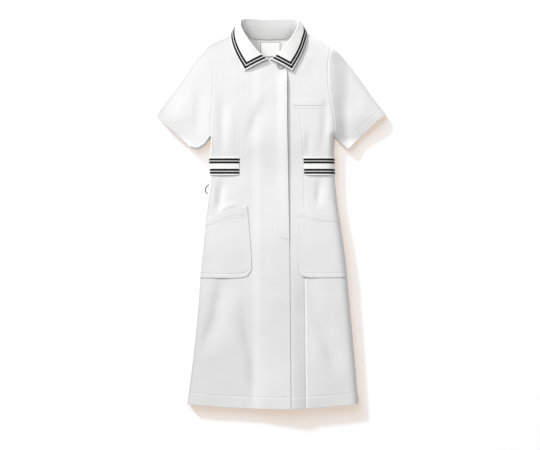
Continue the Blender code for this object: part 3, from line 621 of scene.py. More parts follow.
# Materials
class Value:
    # a node's output that takes part in Python expressions
    def __init__(self, graph, output):
        self.graph, self.output = graph, output

    def math(self, operation, other=0.0):
        return self.graph.add("ShaderNodeMath", {"operation": operation}, {0: self, 1: other})

    def __add__(self, other):
        return self.math("ADD", other)

    def __sub__(self, other):
        return self.math("SUBTRACT", other)

    def __mul__(self, other):
        return self.math("MULTIPLY", other)

    def __lt__(self, other):
        return self.math("LESS_THAN", other)

    def __abs__(self):
        return self.math("ABSOLUTE")

    def wave(self, turn):
        return (self * turn).math("SINE")

    def least(self, other):
        return self.math("MINIMUM", other)


class Graph:
    # the node tree of one material
    def __init__(self, name):
        self.material = bpy.data.materials.new(name)
        self.material.use_nodes = True
        self.tree = self.material.node_tree
        self.shader = self.tree.nodes["Principled BSDF"]

    def add(self, kind, settings=None, values=None, output=0):
        node = self.tree.nodes.new(kind)
        for key, value in (settings or {}).items():
            if key == "stops":
                for stop, (place, colour) in zip(node.color_ramp.elements, value):
                    stop.position, stop.color = place, colour
            else:
                setattr(node, key, value)
        for key, value in (values or {}).items():
            self.feed(node.inputs[key], value)
        return Value(self, node.outputs[output])

    def feed(self, socket, value):
        if isinstance(value, Value):
            self.tree.links.new(value.output, socket)
        else:
            socket.default_value = value

    def set(self, **values):
        # a socket of the main shader, named by its words run together
        named = {socket.name.replace(" ", "").lower(): socket for socket in self.shader.inputs}
        for key, value in values.items():
            self.feed(named[key.lower()], value)

    def noise(self, scale, detail=2.0):
        where = self.add("ShaderNodeTexCoord", output="Object")
        return self.add("ShaderNodeTexNoise", {}, {"Vector": where, "Scale": scale, "Detail": detail})

    def between(self, share, first, second):
        return self.add("ShaderNodeMix", {"data_type": "RGBA"}, {0: share, 6: first, 7: second}, output=2)

    def bump(self, height, distance, strength=1.0, normal=None):
        values = {"Height": height, "Distance": distance, "Strength": strength}
        if normal is not None:
            values["Normal"] = normal
        return self.add("ShaderNodeBump", {}, values)

    def across(self):
        # the place on the flat cloth, across and along
        place = self.add("ShaderNodeUVMap", {"uv_map": "cloth"})
        node = self.add("ShaderNodeSeparateXYZ", {}, {0: place}).output.node
        return [Value(self, socket) for socket in node.outputs][:2]

    def fromEdges(self):
        # distance from the nearer of the two edges that the piece's attributes measure from
        names = ("edgeOne", "edgeTwo")
        one, two = (self.add("ShaderNodeAttribute", {"attribute_name": n}, output="Fac") for n in names)
        return one.least(two)


whiteCloth = {
    "light": (0.752, 0.753, 0.750, 1),
    "shade": (0.734, 0.736, 0.734, 1),
    "twillPitch": 0.0009,
    "yarnsPerTwill": 1.6,
    "twillShare": 0.6,
    "yarnShare": 0.4,
    "weaveDepth": 0.00006,
    "weaveStrength": 0.5,
    "softScale": 26,
    "cloudScale": 5.5,
    "creaseDepth": 0.0005,
    "creaseStrength": 0.4,
    "roughness": 0.72,
    "roughnessSpread": 0.12,
    "sheen": 0.12,
    "sheenRoughness": 0.5,
    "specular": 0.25,
}


def makeWhiteCloth():
    graph = Graph("white_cloth")
    u, v = graph.across()
    turn = 2 * math.pi / whiteCloth["twillPitch"]
    yarnTurn = turn * whiteCloth["yarnsPerTwill"]
    yarns = v.wave(yarnTurn) * u.wave(yarnTurn)
    weave = (u + v).wave(turn) * whiteCloth["twillShare"] + yarns * whiteCloth["yarnShare"]
    soft = graph.noise(whiteCloth["softScale"], 3.0)
    cloudy = graph.noise(whiteCloth["cloudScale"])
    creased = graph.bump(soft, whiteCloth["creaseDepth"], whiteCloth["creaseStrength"])
    graph.set(
        baseColor=graph.between(cloudy, whiteCloth["light"], whiteCloth["shade"]),
        roughness=soft * whiteCloth["roughnessSpread"] + whiteCloth["roughness"],
        normal=graph.bump(weave, whiteCloth["weaveDepth"], whiteCloth["weaveStrength"], creased),
        sheenWeight=whiteCloth["sheen"],
        sheenRoughness=whiteCloth["sheenRoughness"],
        specularIorLevel=whiteCloth["specular"],
    )
    return graph.material


stripedCloth = {
    "white": (0.860, 0.860, 0.857, 1),
    "black": (0.004, 0.004, 0.005, 1),
    "dusty": (0.009, 0.009, 0.010, 1),
    "stripeCentres": (0.0060, 0.0140),
    "stripeWidth": 0.0062,
    "ribPitch": 0.0014,
    "loopsPerRib": 1.3,
    "ribShare": 0.6,
    "loopShare": 0.4,
    "knitDepth": 0.0001,
    "knitStrength": 0.5,
    "softScale": 40,
    "roughness": 0.78,
    "roughnessSpread": 0.1,
    "sheen": 0.1,
    "specular": 0.25,
}


def makeStripedCloth():
    # the stripes follow the piece's edges
    graph = Graph("striped_cloth")
    edge = graph.fromEdges()
    outer, inner = stripedCloth["stripeCentres"]
    black = abs(edge - outer).least(abs(edge - inner)) < stripedCloth["stripeWidth"] / 2
    u, v = graph.across()
    turn = 2 * math.pi / stripedCloth["ribPitch"]
    rib = u.wave(turn)
    loops = v.wave(turn * stripedCloth["loopsPerRib"]) * rib
    knit = rib * stripedCloth["ribShare"] + loops * stripedCloth["loopShare"]
    soft = graph.noise(stripedCloth["softScale"], 3.0)
    dusty = graph.between(soft, stripedCloth["black"], stripedCloth["dusty"])
    graph.set(
        baseColor=graph.between(black, stripedCloth["white"], dusty),
        roughness=soft * stripedCloth["roughnessSpread"] + stripedCloth["roughness"],
        normal=graph.bump(knit, stripedCloth["knitDepth"], stripedCloth["knitStrength"]),
        sheenWeight=stripedCloth["sheen"],
        specularIorLevel=stripedCloth["specular"],
    )
    return graph.material


labelCloth = {
    "satin": (0.80, 0.80, 0.79, 1),
    "border": (0.045, 0.045, 0.05, 1),
    "borderAt": 0.0026,
    "borderHalfWidth": 0.0008,
    "threadPitch": 0.0005,
    "threadDepth": 0.00004,
    "threadStrength": 0.5,
    "roughness": 0.5,
    "roughnessSpread": 0.05,
    "sheen": 0.1,
}


def makeLabelCloth():
    graph = Graph("label_cloth")
    border = abs(graph.fromEdges() - labelCloth["borderAt"]) < labelCloth["borderHalfWidth"]
    u, v = graph.across()
    turn = 2 * math.pi / labelCloth["threadPitch"]
    threads = v.wave(turn) * u.wave(turn)
    graph.set(
        baseColor=graph.between(border, labelCloth["satin"], labelCloth["border"]),
        roughness=threads * labelCloth["roughnessSpread"] + labelCloth["roughness"],
        normal=graph.bump(threads, labelCloth["threadDepth"], labelCloth["threadStrength"]),
        sheenWeight=labelCloth["sheen"],
    )
    return graph.material


buttonResin = {
    "light": (0.46, 0.46, 0.45, 1),
    "dark": (0.34, 0.34, 0.34, 1),
    "cloudScale": 180,
    "roughness": 0.18,
    "roughnessSpread": 0.15,
    "polish": 0.3,
}


def makeButtonResin():
    graph = Graph("button_resin")
    cloud = graph.noise(buttonResin["cloudScale"], 3.0)
    graph.set(
        baseColor=graph.between(cloud, buttonResin["light"], buttonResin["dark"]),
        roughness=cloud * buttonResin["roughnessSpread"] + buttonResin["roughness"],
        coatWeight=buttonResin["polish"],
    )
    return graph.material


thread = {
    "loop": ((0.075, 0.075, 0.080, 1), (0.035, 0.035, 0.040, 1)),
    "stitch": ((0.70, 0.70, 0.695, 1), (0.60, 0.60, 0.60, 1)),
    "fibreScale": 1400,
    "fibreDepth": 0.0001,
    "fibreStrength": 0.5,
    "roughness": 0.6,
    "roughnessSpread": 0.2,
}


def makeThread(kind):
    graph = Graph(kind + "_thread")
    fibre = graph.noise(thread["fibreScale"])
    graph.set(
        baseColor=graph.between(fibre, *thread[kind]),
        roughness=fibre * thread["roughnessSpread"] + thread["roughness"],
        normal=graph.bump(fibre, thread["fibreDepth"], thread["fibreStrength"]),
    )
    return graph.material


# The floor's colour and its glow add up to white in full light, and leave the shadow warm
floor = {
    "light": (0.490, 0.660, 0.800, 1),
    "dark": (0.486, 0.656, 0.796, 1),
    "glow": (0.538, 0.373, 0.245, 1),
    "grainScale": 3.0,
    "roughness": 0.9,
    "halfSize": 8.0,
    "z": -0.0006,
}


def makeFloor():
    graph = Graph("floor")
    grain = graph.noise(floor["grainScale"])
    graph.set(
        baseColor=graph.between(grain, floor["light"], floor["dark"]),
        roughness=floor["roughness"],
        specularIorLevel=0.0,
        emissionColor=floor["glow"],
        emissionStrength=1.0,
    )
    return graph.material


white, striped, labelFinish = makeWhiteCloth(), makeStripedCloth(), makeLabelCloth()
resin = makeButtonResin()
loopFinish, stitchFinish = makeThread("loop"), makeThread("stitch")
print("materials made")


def placed(obj, node):
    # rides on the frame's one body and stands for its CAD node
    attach(obj, "root")
    if node:
        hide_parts(node)
    return obj


stitchPaths = []


def addStitches(path, lift=relief["stitchLift"]):
    path = np.array(path, float)
    path[:, 2] += lift
    stitchPaths.append(path)


# Front panels
def lapRise(xy):
    rise = front["lapRise"] * smoothStep((xy[:, 0] - front["lapStart"]) / (front["lapFull"] - front["lapStart"]))
    nearEdge = smoothStep(1 - (flyEdge(xy[:, 1]) - xy[:, 0]) / front["flareWidth"])
    ys, heights = np.array(front["flares"]).T
    return rise + np.interp(xy[:, 1], ys, heights) * nearEdge


def inset(plan, start=0.0, end=0.0):
    plan = plan.copy()
    plan[:, 0] += unit(plan[:, 1] - plan[:, 0]) * np.reshape(start, (-1, 1))
    plan[:, -1] += unit(plan[:, -2] - plan[:, -1]) * np.reshape(end, (-1, 1))
    return plan


def raisedEdge(points, above):
    # front and back part at the side seam and the shoulder
    away = distanceTo(points.reshape(-1, 3)[:, :2], outlineStarts, outlineEnds).reshape(points.shape[:2])
    points = points.copy()
    points[..., 2] += above * body["edgePart"] * np.clip(1 - away / body["underRounding"], 0, 1)
    return points


# How strongly each sewn seam shows. The right princess seam hardly does, the left one below the bust
seamStrength = {
    "princessRight": 0.10,
    "princessLeft": 0.06,
    "belowBust": {"Right": 0.0, "Left": 0.34},
    "bustY": 0.275,
    "bustFade": 0.04,
    "armholeRight": 0.44,
    "armholeLeft": 0.50,
    "side": 0.55,
    "sleeveRight": 0.3,
    "sleeveLeft": 0.5,
    "back": 0.8,
}


def princess(side, points):
    below = smoothStep((seamStrength["bustY"] - points[..., 1]) / seamStrength["bustFade"])
    return seam(seamStrength["princess" + side] + seamStrength["belowBust"][side] * below)


def armhole(side, points):
    # and the side seam below it
    return seam(np.where(points[..., 1] > underarmY, seamStrength["armhole" + side], seamStrength["side"]))


def makeSidePanel(side):
    plan = inset(sidePlan(side), body["seamGap"] / 2, body["seamGap"] / 2)
    points = raisedEdge(laid(plan, frontHeight), 1)
    borders = {"first": armhole(side, points), "last": princess(side, points), "foot": hemmed(grid["hemDepth"])}
    points = relieved(points, 1, borders)
    addStitches(points[stitchAt - len(hemSteps)][2:-1])
    return clothObject(f"front_{side.lower()}_side_cloth", points, body["clothWall"], white)


def flyRows():
    topY = front["flyEdge"][-1][1]
    upperYs = topY + (underarmY - topY) * armShares
    ys = np.concatenate([upperYs, bodyYs])
    return np.column_stack([flyEdge(ys), ys])


def centrePlan(side):
    inner, edge = rowsDown("princess" + side, "seam" + side), flyRows()
    neck = "neckFront" if side == "Right" else "neckFrontLeft"
    if side == "Left":
        edge[:, 0] = front["underlapEdge"]
    shares = sharesAcross(inner, edge, seamSteps, np.array(grid["edgeSteps"]), grid["centreCount"])
    top = alongLine(np.vstack([inner[:1], curves[neck], edge[:1]]), shares[0])
    return inset(gridBetween(inner, edge, shares, top), body["seamGap"] / 2)


def flyHeight(xy):
    return frontHeight(xy) + lapRise(xy)


def makeCentrePanel(side):
    # the right one laps over the left as the fly
    points = raisedEdge(laid(centrePlan(side), flyHeight if side == "Right" else frontHeight), 1)
    points = relieved(points, 1, {"first": princess(side, points), "foot": hemmed(grid["hemDepth"])})
    if side == "Right":
        addStitches(points[stitchAt - len(hemSteps)][1:-2])
    return clothObject(f"front_{side.lower()}_centre_cloth", points, body["clothWall"], white)


def makeBack():
    right, left = sidePlan("Right"), sidePlan("Left")
    seamRight, seamLeft = rowsDown("princessRight", "seamRight"), rowsDown("princessLeft", "seamLeft")
    shares = np.tile(np.linspace(0, 1, grid["backCount"]), (len(seamRight), 1))
    line = np.vstack([seamRight[:1], curves["neckBack"], curves["neckBackLeft"][::-1], seamLeft[:1]])
    middle = gridBetween(seamRight, seamLeft, shares, alongLine(line, shares[0]))
    plan = np.concatenate([right, middle[:, 1:-1], left[:, ::-1]], axis=1)
    plan = inset(plan, body["seamGap"] / 2, body["seamGap"] / 2)
    low = np.clip((hemY + body["backHemFade"] - plan[..., 1]) / body["backHemFade"], 0, 1)
    plan[..., 1] += body["backHemRise"] * low
    points = raisedEdge(laid(plan, underHeight), -1)
    sewn = seam(seamStrength["back"])
    points = relieved(points, -1, {"first": sewn, "last": sewn, "foot": hemmed(grid["hemDepth"])})
    return clothObject("back_cloth", points, body["clothWall"], white, facing=-1)


def bothSides(name, make):
    return {name.format(side.lower()): make(side) for side in sides}


panels = bothSides("front_{}_side", makeSidePanel) | bothSides("front_{}_centre", makeCentrePanel) | {"back": makeBack()}
print("front and back panels made")


# Sleeves: one flattened tube each, over the front from the shoulder to the underarm and back
def makeSleeve(side):
    shoulder, cuff = (alongLine(curves[line + side], armShares) for line in ("armhole", "cuff"))
    arm, under = curves["arm" + side], curves["underarm" + side]
    lengths = runOf(arm)[-1] * (1 - armShares) + runOf(under)[-1] * armShares
    shares = []
    for length in lengths:
        pressed = cuffSteps * min(1, length / grid["sleeveRoom"])
        shares.append(stepsAcross(length, seamSteps, pressed, grid["sleeveCount"]) / length)
    shares = np.array(shares).T
    s, t = shares[..., None], armShares[None, :, None]
    plan = filledBetween(shoulder, cuff, alongLine(arm, shares), alongLine(under, shares), s, t)
    plan = inset(plan.transpose(1, 0, 2), body["seamGap"] / 2).transpose(1, 0, 2)
    over, below = laid(plan, frontHeight), laid(plan, underHeight)
    below[:, [0, -1]] = over[:, [0, -1]]
    loop = np.concatenate([over, below[:, -2:0:-1]], axis=1)
    up = slice(4, len(armShares) - 4)
    borders = {"top": seam(seamStrength["sleeve" + side]), "foot": hemmed(grid["cuffDepth"])}
    loop = relieved(loop, 1, borders, wrapped=True, upColumns=up)
    addStitches(loop[stitchAt - len(cuffSteps)][2 : len(armShares) - 2])
    return clothObject(f"sleeve_{side.lower()}_cloth", loop, body["clothWall"], white, wrapped=True, upColumns=up)


sleeves = bothSides("sleeve_{}", makeSleeve)
print("sleeves made")


# Collar: the stand stands on the neckline and the leaf folds out over the front
collar = {
    # x, y, z of the fold and x, y, z of the leaf's edge, from the back middle to the front
    "rows": (
        (-0.0047, 0.5372, 0.024, -0.0047, 0.4990, 0.001),
        (-0.0358, 0.5376, 0.026, -0.0358, 0.5000, 0.001),
        (-0.0619, 0.5378, 0.030, -0.0619, 0.5060, 0.003),
        (-0.0770, 0.5360, 0.035, -0.0811, 0.5156, 0.009),
        (-0.0830, 0.5299, 0.043, -0.0954, 0.5129, 0.019),
        (-0.0836, 0.5198, 0.049, -0.1067, 0.5032, 0.029),
        (-0.0803, 0.5074, 0.053, -0.1100, 0.4881, 0.033),
        (-0.0720, 0.4922, 0.054, -0.1061, 0.4675, 0.0),
        (-0.0605, 0.4749, 0.054, -0.0982, 0.4447, 0.0),
        (-0.0454, 0.4562, 0.052, -0.0875, 0.4227, 0.0),
        (-0.0289, 0.4392, 0.049, -0.0775, 0.4056, 0.0),
        (-0.0074, 0.4238, 0.045, -0.0707, 0.3924, 0.0),
    ),
    "neckRow": 4,
    "tipRows": 3,
    "frontGap": 0.002,
    "neckHoleY": 0.470,
    "baseAtBack": 0.004,
    "baseSink": 0.001,
    "foldRadius": 0.003,
    "tipLift": 0.0008,
    "standCrown": 0.0015,
    "crownTop": 0.025,
    "crownFade": 0.018,
    "lean": 0.0022,
    "leanTop": 0.505,
    "leanFade": 0.040,
    "standOff": (0.0004, 0.0042),
    "leafCrown": 0.003,
    "wall": 0.0016,
    "layerGap": 0.0008,
    # over how far the lap under the collar begins and ends
    "lapFadeIn": 0.020,
    "lapFadeOut": 0.008,
    "perSpan": 9,
    "standPoints": 12,
    "turnPoints": 13,
    "leafPoints": 31,
    # how many of the turn's points the stripes run on to
    "stripesOnTurn": 6,
}
button = {
    "centre": (0.0256, 0.4067),
    "radius": 0.010,
    "thickness": 0.003,
    # how far round it the collar is lifted
    "room": 0.012,
    "rings": (0, 0.0008, 0.0016, 0.0024, 0.0032, 0.0042, 0.0056, 0.0066, 0.0074, 0.0082, 0.0090, 0.0096, 0.0100),
    "spokes": 48,
    "seatGap": 0.0006,
    "rimRise": 0.0008,
    # dish, rounded rim, hole and the foot's rim: where each starts, over how far, and how deep
    "dish": (0.0078, 0.0016, 0.0007),
    "rim": (0.0088, 0.0012, 0.0010),
    "hole": (0.0006, 0.0004, 0.0011),
    "footRise": 0.0004,
    "holesAt": 0.0021,
    "holeAngles": (45, 135, 225, 315),
}


def insideFront(xy):
    loop = np.vstack([
        curves["neckFront"][::-1], curves["shoulderRight"], curves["armholeRight"], curves["sideRight"],
        curves["sideLeft"][::-1], curves["armholeLeft"][::-1], curves["shoulderLeft"][::-1], curves["neckFrontLeft"],
    ])
    a, b = loop, np.roll(loop, -1, axis=0)
    x, y = xy[:, :1], xy[:, 1:]
    spans = (a[:, 1] > y) != (b[:, 1] > y)
    rise = np.where(b[:, 1] == a[:, 1], 1, b[:, 1] - a[:, 1])
    crossing = a[:, 0] + (y - a[:, 1]) * (b[:, 0] - a[:, 0]) / rise
    return (spans & (x < crossing)).sum(1) % 2 == 1


def buttonBump(xy):
    away = np.linalg.norm(xy - np.array(button["centre"]), axis=1)
    return (button["thickness"] + collar["layerGap"]) * (1 - smoothStep((away - button["radius"]) / button["room"]))


def collarFloor(xy):
    before = smoothStep((xy[:, 0] - front["lapStart"]) / collar["lapFadeIn"])
    after = (flyEdge(xy[:, 1]) + collar["lapFadeOut"] - xy[:, 0]) / collar["lapFadeOut"]
    onFly = before * smoothStep(after)
    lifted = frontHeight(xy) + front["lapRise"] * onFly + buttonBump(xy)
    return np.where(insideFront(xy), lifted + collar["layerGap"] + collar["wall"], 0.0)


def collarBase():
    count = len(collar["rows"])
    atBack = alongLine(curves["neckBack"][::-1], np.linspace(0, 1, collar["neckRow"] + 1))
    atFront = alongLine(curves["neckFront"], np.linspace(0, 1, count - collar["neckRow"]))[1:]
    line = np.vstack([atBack, atFront])
    backHeights = np.maximum(underHeight(atBack), collar["baseAtBack"])
    heights = np.concatenate([backHeights, frontHeight(atFront) - collar["baseSink"]])
    heights[collar["neckRow"]] = body["seamHeightShare"] * crownHeight(line)[collar["neckRow"]] + collar["baseSink"]
    runs = unit(np.gradient(line, axis=0))
    inward = np.column_stack([-runs[:, 1], runs[:, 0]])
    inward *= np.sign((inward * (np.array([body["neckMiddle"], collar["neckHoleY"]]) - line)).sum(1))[:, None]
    line = line + inward * (collar["wall"] + collar["layerGap"])
    line[-1, 0] = min(line[-1, 0], body["neckMiddle"] - collar["frontGap"])
    return np.column_stack([line, heights])


def collarSection(base, fold, edge):
    up = unit(fold - (base + edge) / 2)
    across = edge - base
    across = unit(across - up * (across @ up))
    centre = fold - up * collar["foldRadius"]
    angles = np.radians(np.linspace(0, 180, collar["turnPoints"]))[:, None]
    turn = centre + collar["foldRadius"] * (np.sin(angles) * up - np.cos(angles) * across)
    height = np.linspace(0, 1, collar["standPoints"] + 1)[:-1]
    stand = base + (turn[0] - base) * height[:, None]
    low = smoothStep((collar["crownTop"] - base[2]) / collar["crownFade"])
    stand[:, 2] += collar["standCrown"] * np.sin(math.pi * height) * low
    shares = np.linspace(0, 1, collar["leafPoints"])[1:, None]
    crowned = collar["leafCrown"] * 4 * shares * (1 - shares) * across
    return np.vstack([stand, turn, turn[-1] + (edge - turn[-1]) * shares + crowned])


def makeCollar():
    rows = np.array(collar["rows"])
    lift = collar["tipLift"] * smoothStep(1 - (len(rows) - 1 - np.arange(len(rows))) / collar["tipRows"])
    known = np.column_stack([collarBase(), rows, lift])
    fine = smoothLine(known, collar["perSpan"])
    leafCount = collar["leafPoints"]
    halves = []
    for mirror in (False, True):
        sections = []
        for row in fine:
            points = row[:-1].reshape(3, 3).copy()
            if mirror:
                points[:, 0] = 2 * body["neckMiddle"] - points[:, 0]
            low = smoothStep((collar["leanTop"] - points[2, 1]) / collar["leanFade"])
            points[2, 0] -= collar["lean"] * low
            stands = row[-1] + low * collar["standOff"][mirror]
            points[2, 2] = max(points[2, 2], collarFloor(points[2:, :2])[0] + stands)
            sections.append(collarSection(*points))
        half = np.array(sections)
        leaf = half[:, -leafCount:].reshape(-1, 3)
        leaf[:, 2] = np.maximum(leaf[:, 2], collarFloor(leaf[:, :2]))
        half[:, -leafCount:] = leaf.reshape(len(half), leafCount, 3)
        halves.append(half)
    stations = np.concatenate([halves[0][::-1], halves[1][1:]])
    # the stripes follow the leaf's outer edge and both front edges
    outerGap = runsFromBorders(stations)["last"]
    frontGaps = []
    for frontEdge in (stations[0], stations[-1]):
        edge = frontEdge[-leafCount - collar["stripesOnTurn"] :]
        gap = distanceTo(stations.reshape(-1, 3), edge[:-1], edge[1:])
        frontGaps.append(gap.reshape(stations.shape[:2]))
    leafOnly = np.arange(stations.shape[1]) >= stations.shape[1] - leafCount - 2
    values = {"edgeOne": outerGap, "edgeTwo": np.where(leafOnly[None], np.minimum(*frontGaps), 1.0)}
    return clothObject("collar_knit", stations, collar["wall"], striped, values=values)


collarPiece = makeCollar()
print("collar made")


# Waist tabs, from the princess seam round the side
tab = {
    "top": 0.1543,
    "height": 0.0484,
    "sewnIn": 0.012,
    "wall": 0.0014,
    "gap": 0.0010,
    "bridge": 0.0018,
    "underAngles": (-6, -12, -18, -24, -30, -36),
    "rows": 33,
    "innerSteps": (0, 0.001),
    "acrossCount": 22,
    # the columns that lie on the front
    "upColumns": 20,
}


def roundedSide(side, y, distances, anglesUnder=()):
    # a section of the dress's surface at y, from the front round to the underside, with its normals
    sign = 1 if side == "Left" else -1
    edgeX = xAt(curves["side" + side], y)
    seamZ = body["seamHeightShare"] * crownHeight(np.array([[edgeX, y]]))[0]
    xs = edgeX - sign * distances
    zs = frontHeight(np.column_stack([xs, np.full(len(xs), y)]), folded=False)
    angles = np.radians(np.array(anglesUnder))
    xs = np.concatenate([xs, edgeX - sign * body["underRounding"] * (1 - np.cos(angles))])
    zs = np.concatenate([zs, seamZ * (1 + np.sin(angles))])
    along = np.column_stack([np.gradient(xs), np.gradient(zs)])
    outward = unit(np.column_stack([-sign * along[:, 1], np.zeros(len(xs)), sign * along[:, 0]]))
    return np.column_stack([xs, np.full(len(xs), y), zs]), outward


def makeTab(side):
    rows = []
    for y in np.linspace(tab["top"], tab["top"] - tab["height"], tab["rows"]):
        inner = abs(xAt(curves["side" + side], y) - xAt(curves["seam" + side], y)) - body["seamGap"] / 2
        distances = stepsAcross(inner, roundSteps, np.array(tab["innerSteps"]), tab["acrossCount"])[::-1]
        points, outward = roundedSide(side, y, distances, tab["underAngles"])
        bridge = np.zeros(len(points))
        sewn = 1 - smoothStep((inner - distances) / tab["sewnIn"])
        bridge[: len(distances)] = tab["bridge"] * np.sin(math.pi * distances / inner) - tab["gap"] * sewn
        rows.append(points + outward * (tab["wall"] + tab["gap"] + bridge)[:, None])
    points = np.array(rows)
    runs = runsFromBorders(points)
    values = {"edgeOne": runs["top"], "edgeTwo": runs["foot"]}
    up = slice(0, tab["upColumns"])
    return clothObject(f"waist_tab_{side.lower()}_knit", points, tab["wall"], striped, upColumns=up, values=values)


tabs = bothSides("waist_tab_{}", makeTab)
print("waist tabs made")


# Hip pockets
pocket = {
    "mouthLift": 0.0025,
    "mouthShare": 0.35,
    "mouthHem": 0.022,
    "footHem": 0.0120,
    "layer": 0.0010,
    "wall": 0.0006,
    "footSteps": (0, 0.0006, 0.0014, 0.0026, 0.0045, 0.0080, 0.0105, 0.0113, 0.0120, 0.0127, 0.0135),
    "tackSteps": (0, 0.0006, 0.0014, 0.0026, 0.0045, 0.0100, 0.0190),
    "mouthBetween": (0.0085, 0.0130),
    # the foot's stitches start past the columns that lie round the side
    "footStitchStart": 6,
    "downCount": 38,
    "acrossCount": 24,
    # how softly the pocket comes down on the panel
    "softness": 0.0003,
    # soft waves in each pocket: start, end, half width, height
    "rippleFade": 0.4,
    "ripples": {
        "Right": (
            ((-0.176, -0.110), (-0.150, -0.146), 0.012, -0.0012),
            ((-0.120, -0.020), (-0.100, -0.150), 0.030, 0.0012),
        ),
        "Left": (
            ((0.078, -0.045), (0.081, -0.140), 0.007, -0.0007),
            ((0.150, -0.030), (0.165, -0.150), 0.026, -0.0012),
        ),
    },
    "Right": {
        "sideEnds": (-0.0125, -0.1763),
        "mouth": (
            (-0.1694, -0.0102), (-0.1518, -0.0025), (-0.1298, 0.0052),
            (-0.1078, 0.0140), (-0.0792, 0.0162), (-0.0649, 0.0206),
        ),
        "foot": ((-0.125, -0.1770), (-0.078, -0.1755), (-0.060, -0.1660), (-0.0535, -0.1480)),
        "inner": ((-0.0649, 0.0206), (-0.0583, -0.0591), (-0.0540, -0.1150), (-0.0535, -0.1480)),
    },
    "Left": {
        "sideEnds": (-0.0041, -0.1750),
        "mouth": ((0.165, -0.0010), (0.133, 0.0030), (0.0748, 0.0190)),
        "foot": ((0.140, -0.1757), (0.096, -0.1745), (0.078, -0.1650), (0.0712, -0.1480)),
        "inner": ((0.0748, 0.0170), (0.0715, -0.0454), (0.0705, -0.1150), (0.0712, -0.1480)),
    },
}


def pocketRipple(xy, side):
    rise = undulation(xy)
    for start, end, width, height in pocket["ripples"][side]:
        away, along = signedRun(np.array([start, end]), xy)
        rise = rise + height * bell(away, width) * smoothStep(np.minimum(along, 1 - along) / pocket["rippleFade"])
    return rise * (1 - edgeShare(xy))


def pocketHeight(xy, side):
    # the pocket keeps its own ripples, but never dips into the panel that it is sewn on
    own = frontHeight(xy, folded=False) + pocketRipple(xy, side)
    return np.logaddexp(own / pocket["softness"], frontHeight(xy) / pocket["softness"]) * pocket["softness"]


def makeHipPocket(side):
    sizes = pocket[side]
    topY, footY = sizes["sideEnds"]
    tall = topY - footY
    mouthSteps = np.concatenate([grid["edgeSteps"], pocket["mouthBetween"], pocket["mouthHem"] + stitchSteps])
    footSteps, tackSteps = np.array(pocket["footSteps"]), np.array(pocket["tackSteps"])
    downs = stepsAcross(tall, mouthSteps, footSteps, pocket["downCount"]) / tall
    ys = topY - tall * downs
    outer = np.column_stack([xAt(curves["side" + side], ys), ys])
    inner = alongLine(smoothLine(sizes["inner"]), downs)
    width = np.linalg.norm(inner[0] - outer[0])
    acrosses = stepsAcross(width, roundSteps, tackSteps, pocket["acrossCount"]) / width
    mouth = alongLine(smoothLine([outer[0], *sizes["mouth"]]), acrosses)
    foot = alongLine(smoothLine([outer[-1], *sizes["foot"]]), acrosses)
    s, t = downs[:, None, None], acrosses[None, :, None]
    plan = filledBetween(mouth, foot, outer[:, None], inner[:, None], s, t)
    under = laid(plan, lambda xy: pocketHeight(xy, side))
    opening = np.sin(math.pi * t) * (1 - smoothStep(s / pocket["mouthShare"])) * pocket["mouthLift"]
    points = under + normalsOf(under, 1)[0] * (pocket["layer"] + opening)
    points = relieved(points, 1, {"top": hemmed(pocket["mouthHem"]), "foot": hemmed(pocket["footHem"])})
    # rows of stitches: the mouth's hem, the inner edge, the foot twice, and a tack at the mouth's corner
    mouthRow = len(mouthSteps) - len(stitchSteps) + stitchAt
    addStitches(points[mouthRow][2:-2])
    addStitches(points[3:-2, -3])
    addStitches(points[-3, pocket["footStitchStart"] : -2])
    addStitches(points[2 - len(footSteps), pocket["footStitchStart"] : -2])
    addStitches(points[2 : mouthRow + 1, -len(tackSteps)])
    addStitches([points[mouthRow, -len(tackSteps)], points[2, -3]])
    return clothObject(f"hip_pocket_{side.lower()}_cloth", points, pocket["wall"], white)


pockets = bothSides("hip_pocket_{}", makeHipPocket)
print("hip pockets made")


# Small pieces
welt = {
    "box": (0.0619, 0.1444, 0.3135, 0.2970),
    "steps": (40, 12),
    "wall": 0.0005,
    "rise": 0.0007,
    "stitches": ((0.063, 0.2880), (0.143, 0.2880)),
    "stitchPoints": 40,
}
label = {
    "box": (-0.0319, 0.0278, 0.4790, 0.4340),
    "steps": (36, 28),
    "wall": 0.0008,
    "rise": 0.0022,
}
# Tacks that hold the fly: where each starts and ends
tacks = {
    "ends": (
        ((0.0275, -0.0646), (0.0490, -0.0712)), ((0.0275, -0.0656), (0.0490, -0.0722)),
        ((0.0505, -0.4990), (0.0505, -0.5060)), ((-0.0063, 0.1520), (-0.0063, 0.1360)),
        ((0.0040, -0.0300), (0.0040, -0.0460)), ((0.0185, -0.0320), (0.0185, -0.0440)),
    ),
    "lift": 0.0004,
    "points": 14,
}


def makePatch(name, sizes, height, finish):
    left, right, top, foot = sizes["box"]
    columns, rows = sizes["steps"]
    plan = np.stack(np.meshgrid(np.linspace(left, right, columns + 1), np.linspace(top, foot, rows + 1)), axis=-1)
    points = laid(plan, lambda xy: height(xy) + sizes["rise"])
    edgeX = np.minimum(plan[..., 0] - left, right - plan[..., 0])
    edgeY = np.minimum(plan[..., 1] - foot, top - plan[..., 1])
    return clothObject(name, points, sizes["wall"], finish, values={"edgeOne": edgeX, "edgeTwo": edgeY})


weltPiece = makePatch("chest_welt_cloth", welt, frontHeight, white)
for ends in tacks["ends"]:
    addStitches(laid(np.linspace(*ends, tacks["points"]), flyHeight), tacks["lift"])
addStitches(laid(np.linspace(*welt["stitches"], welt["stitchPoints"]), frontHeight))
labelPiece = makePatch("neck_label_cloth", label, underHeight, labelFinish)


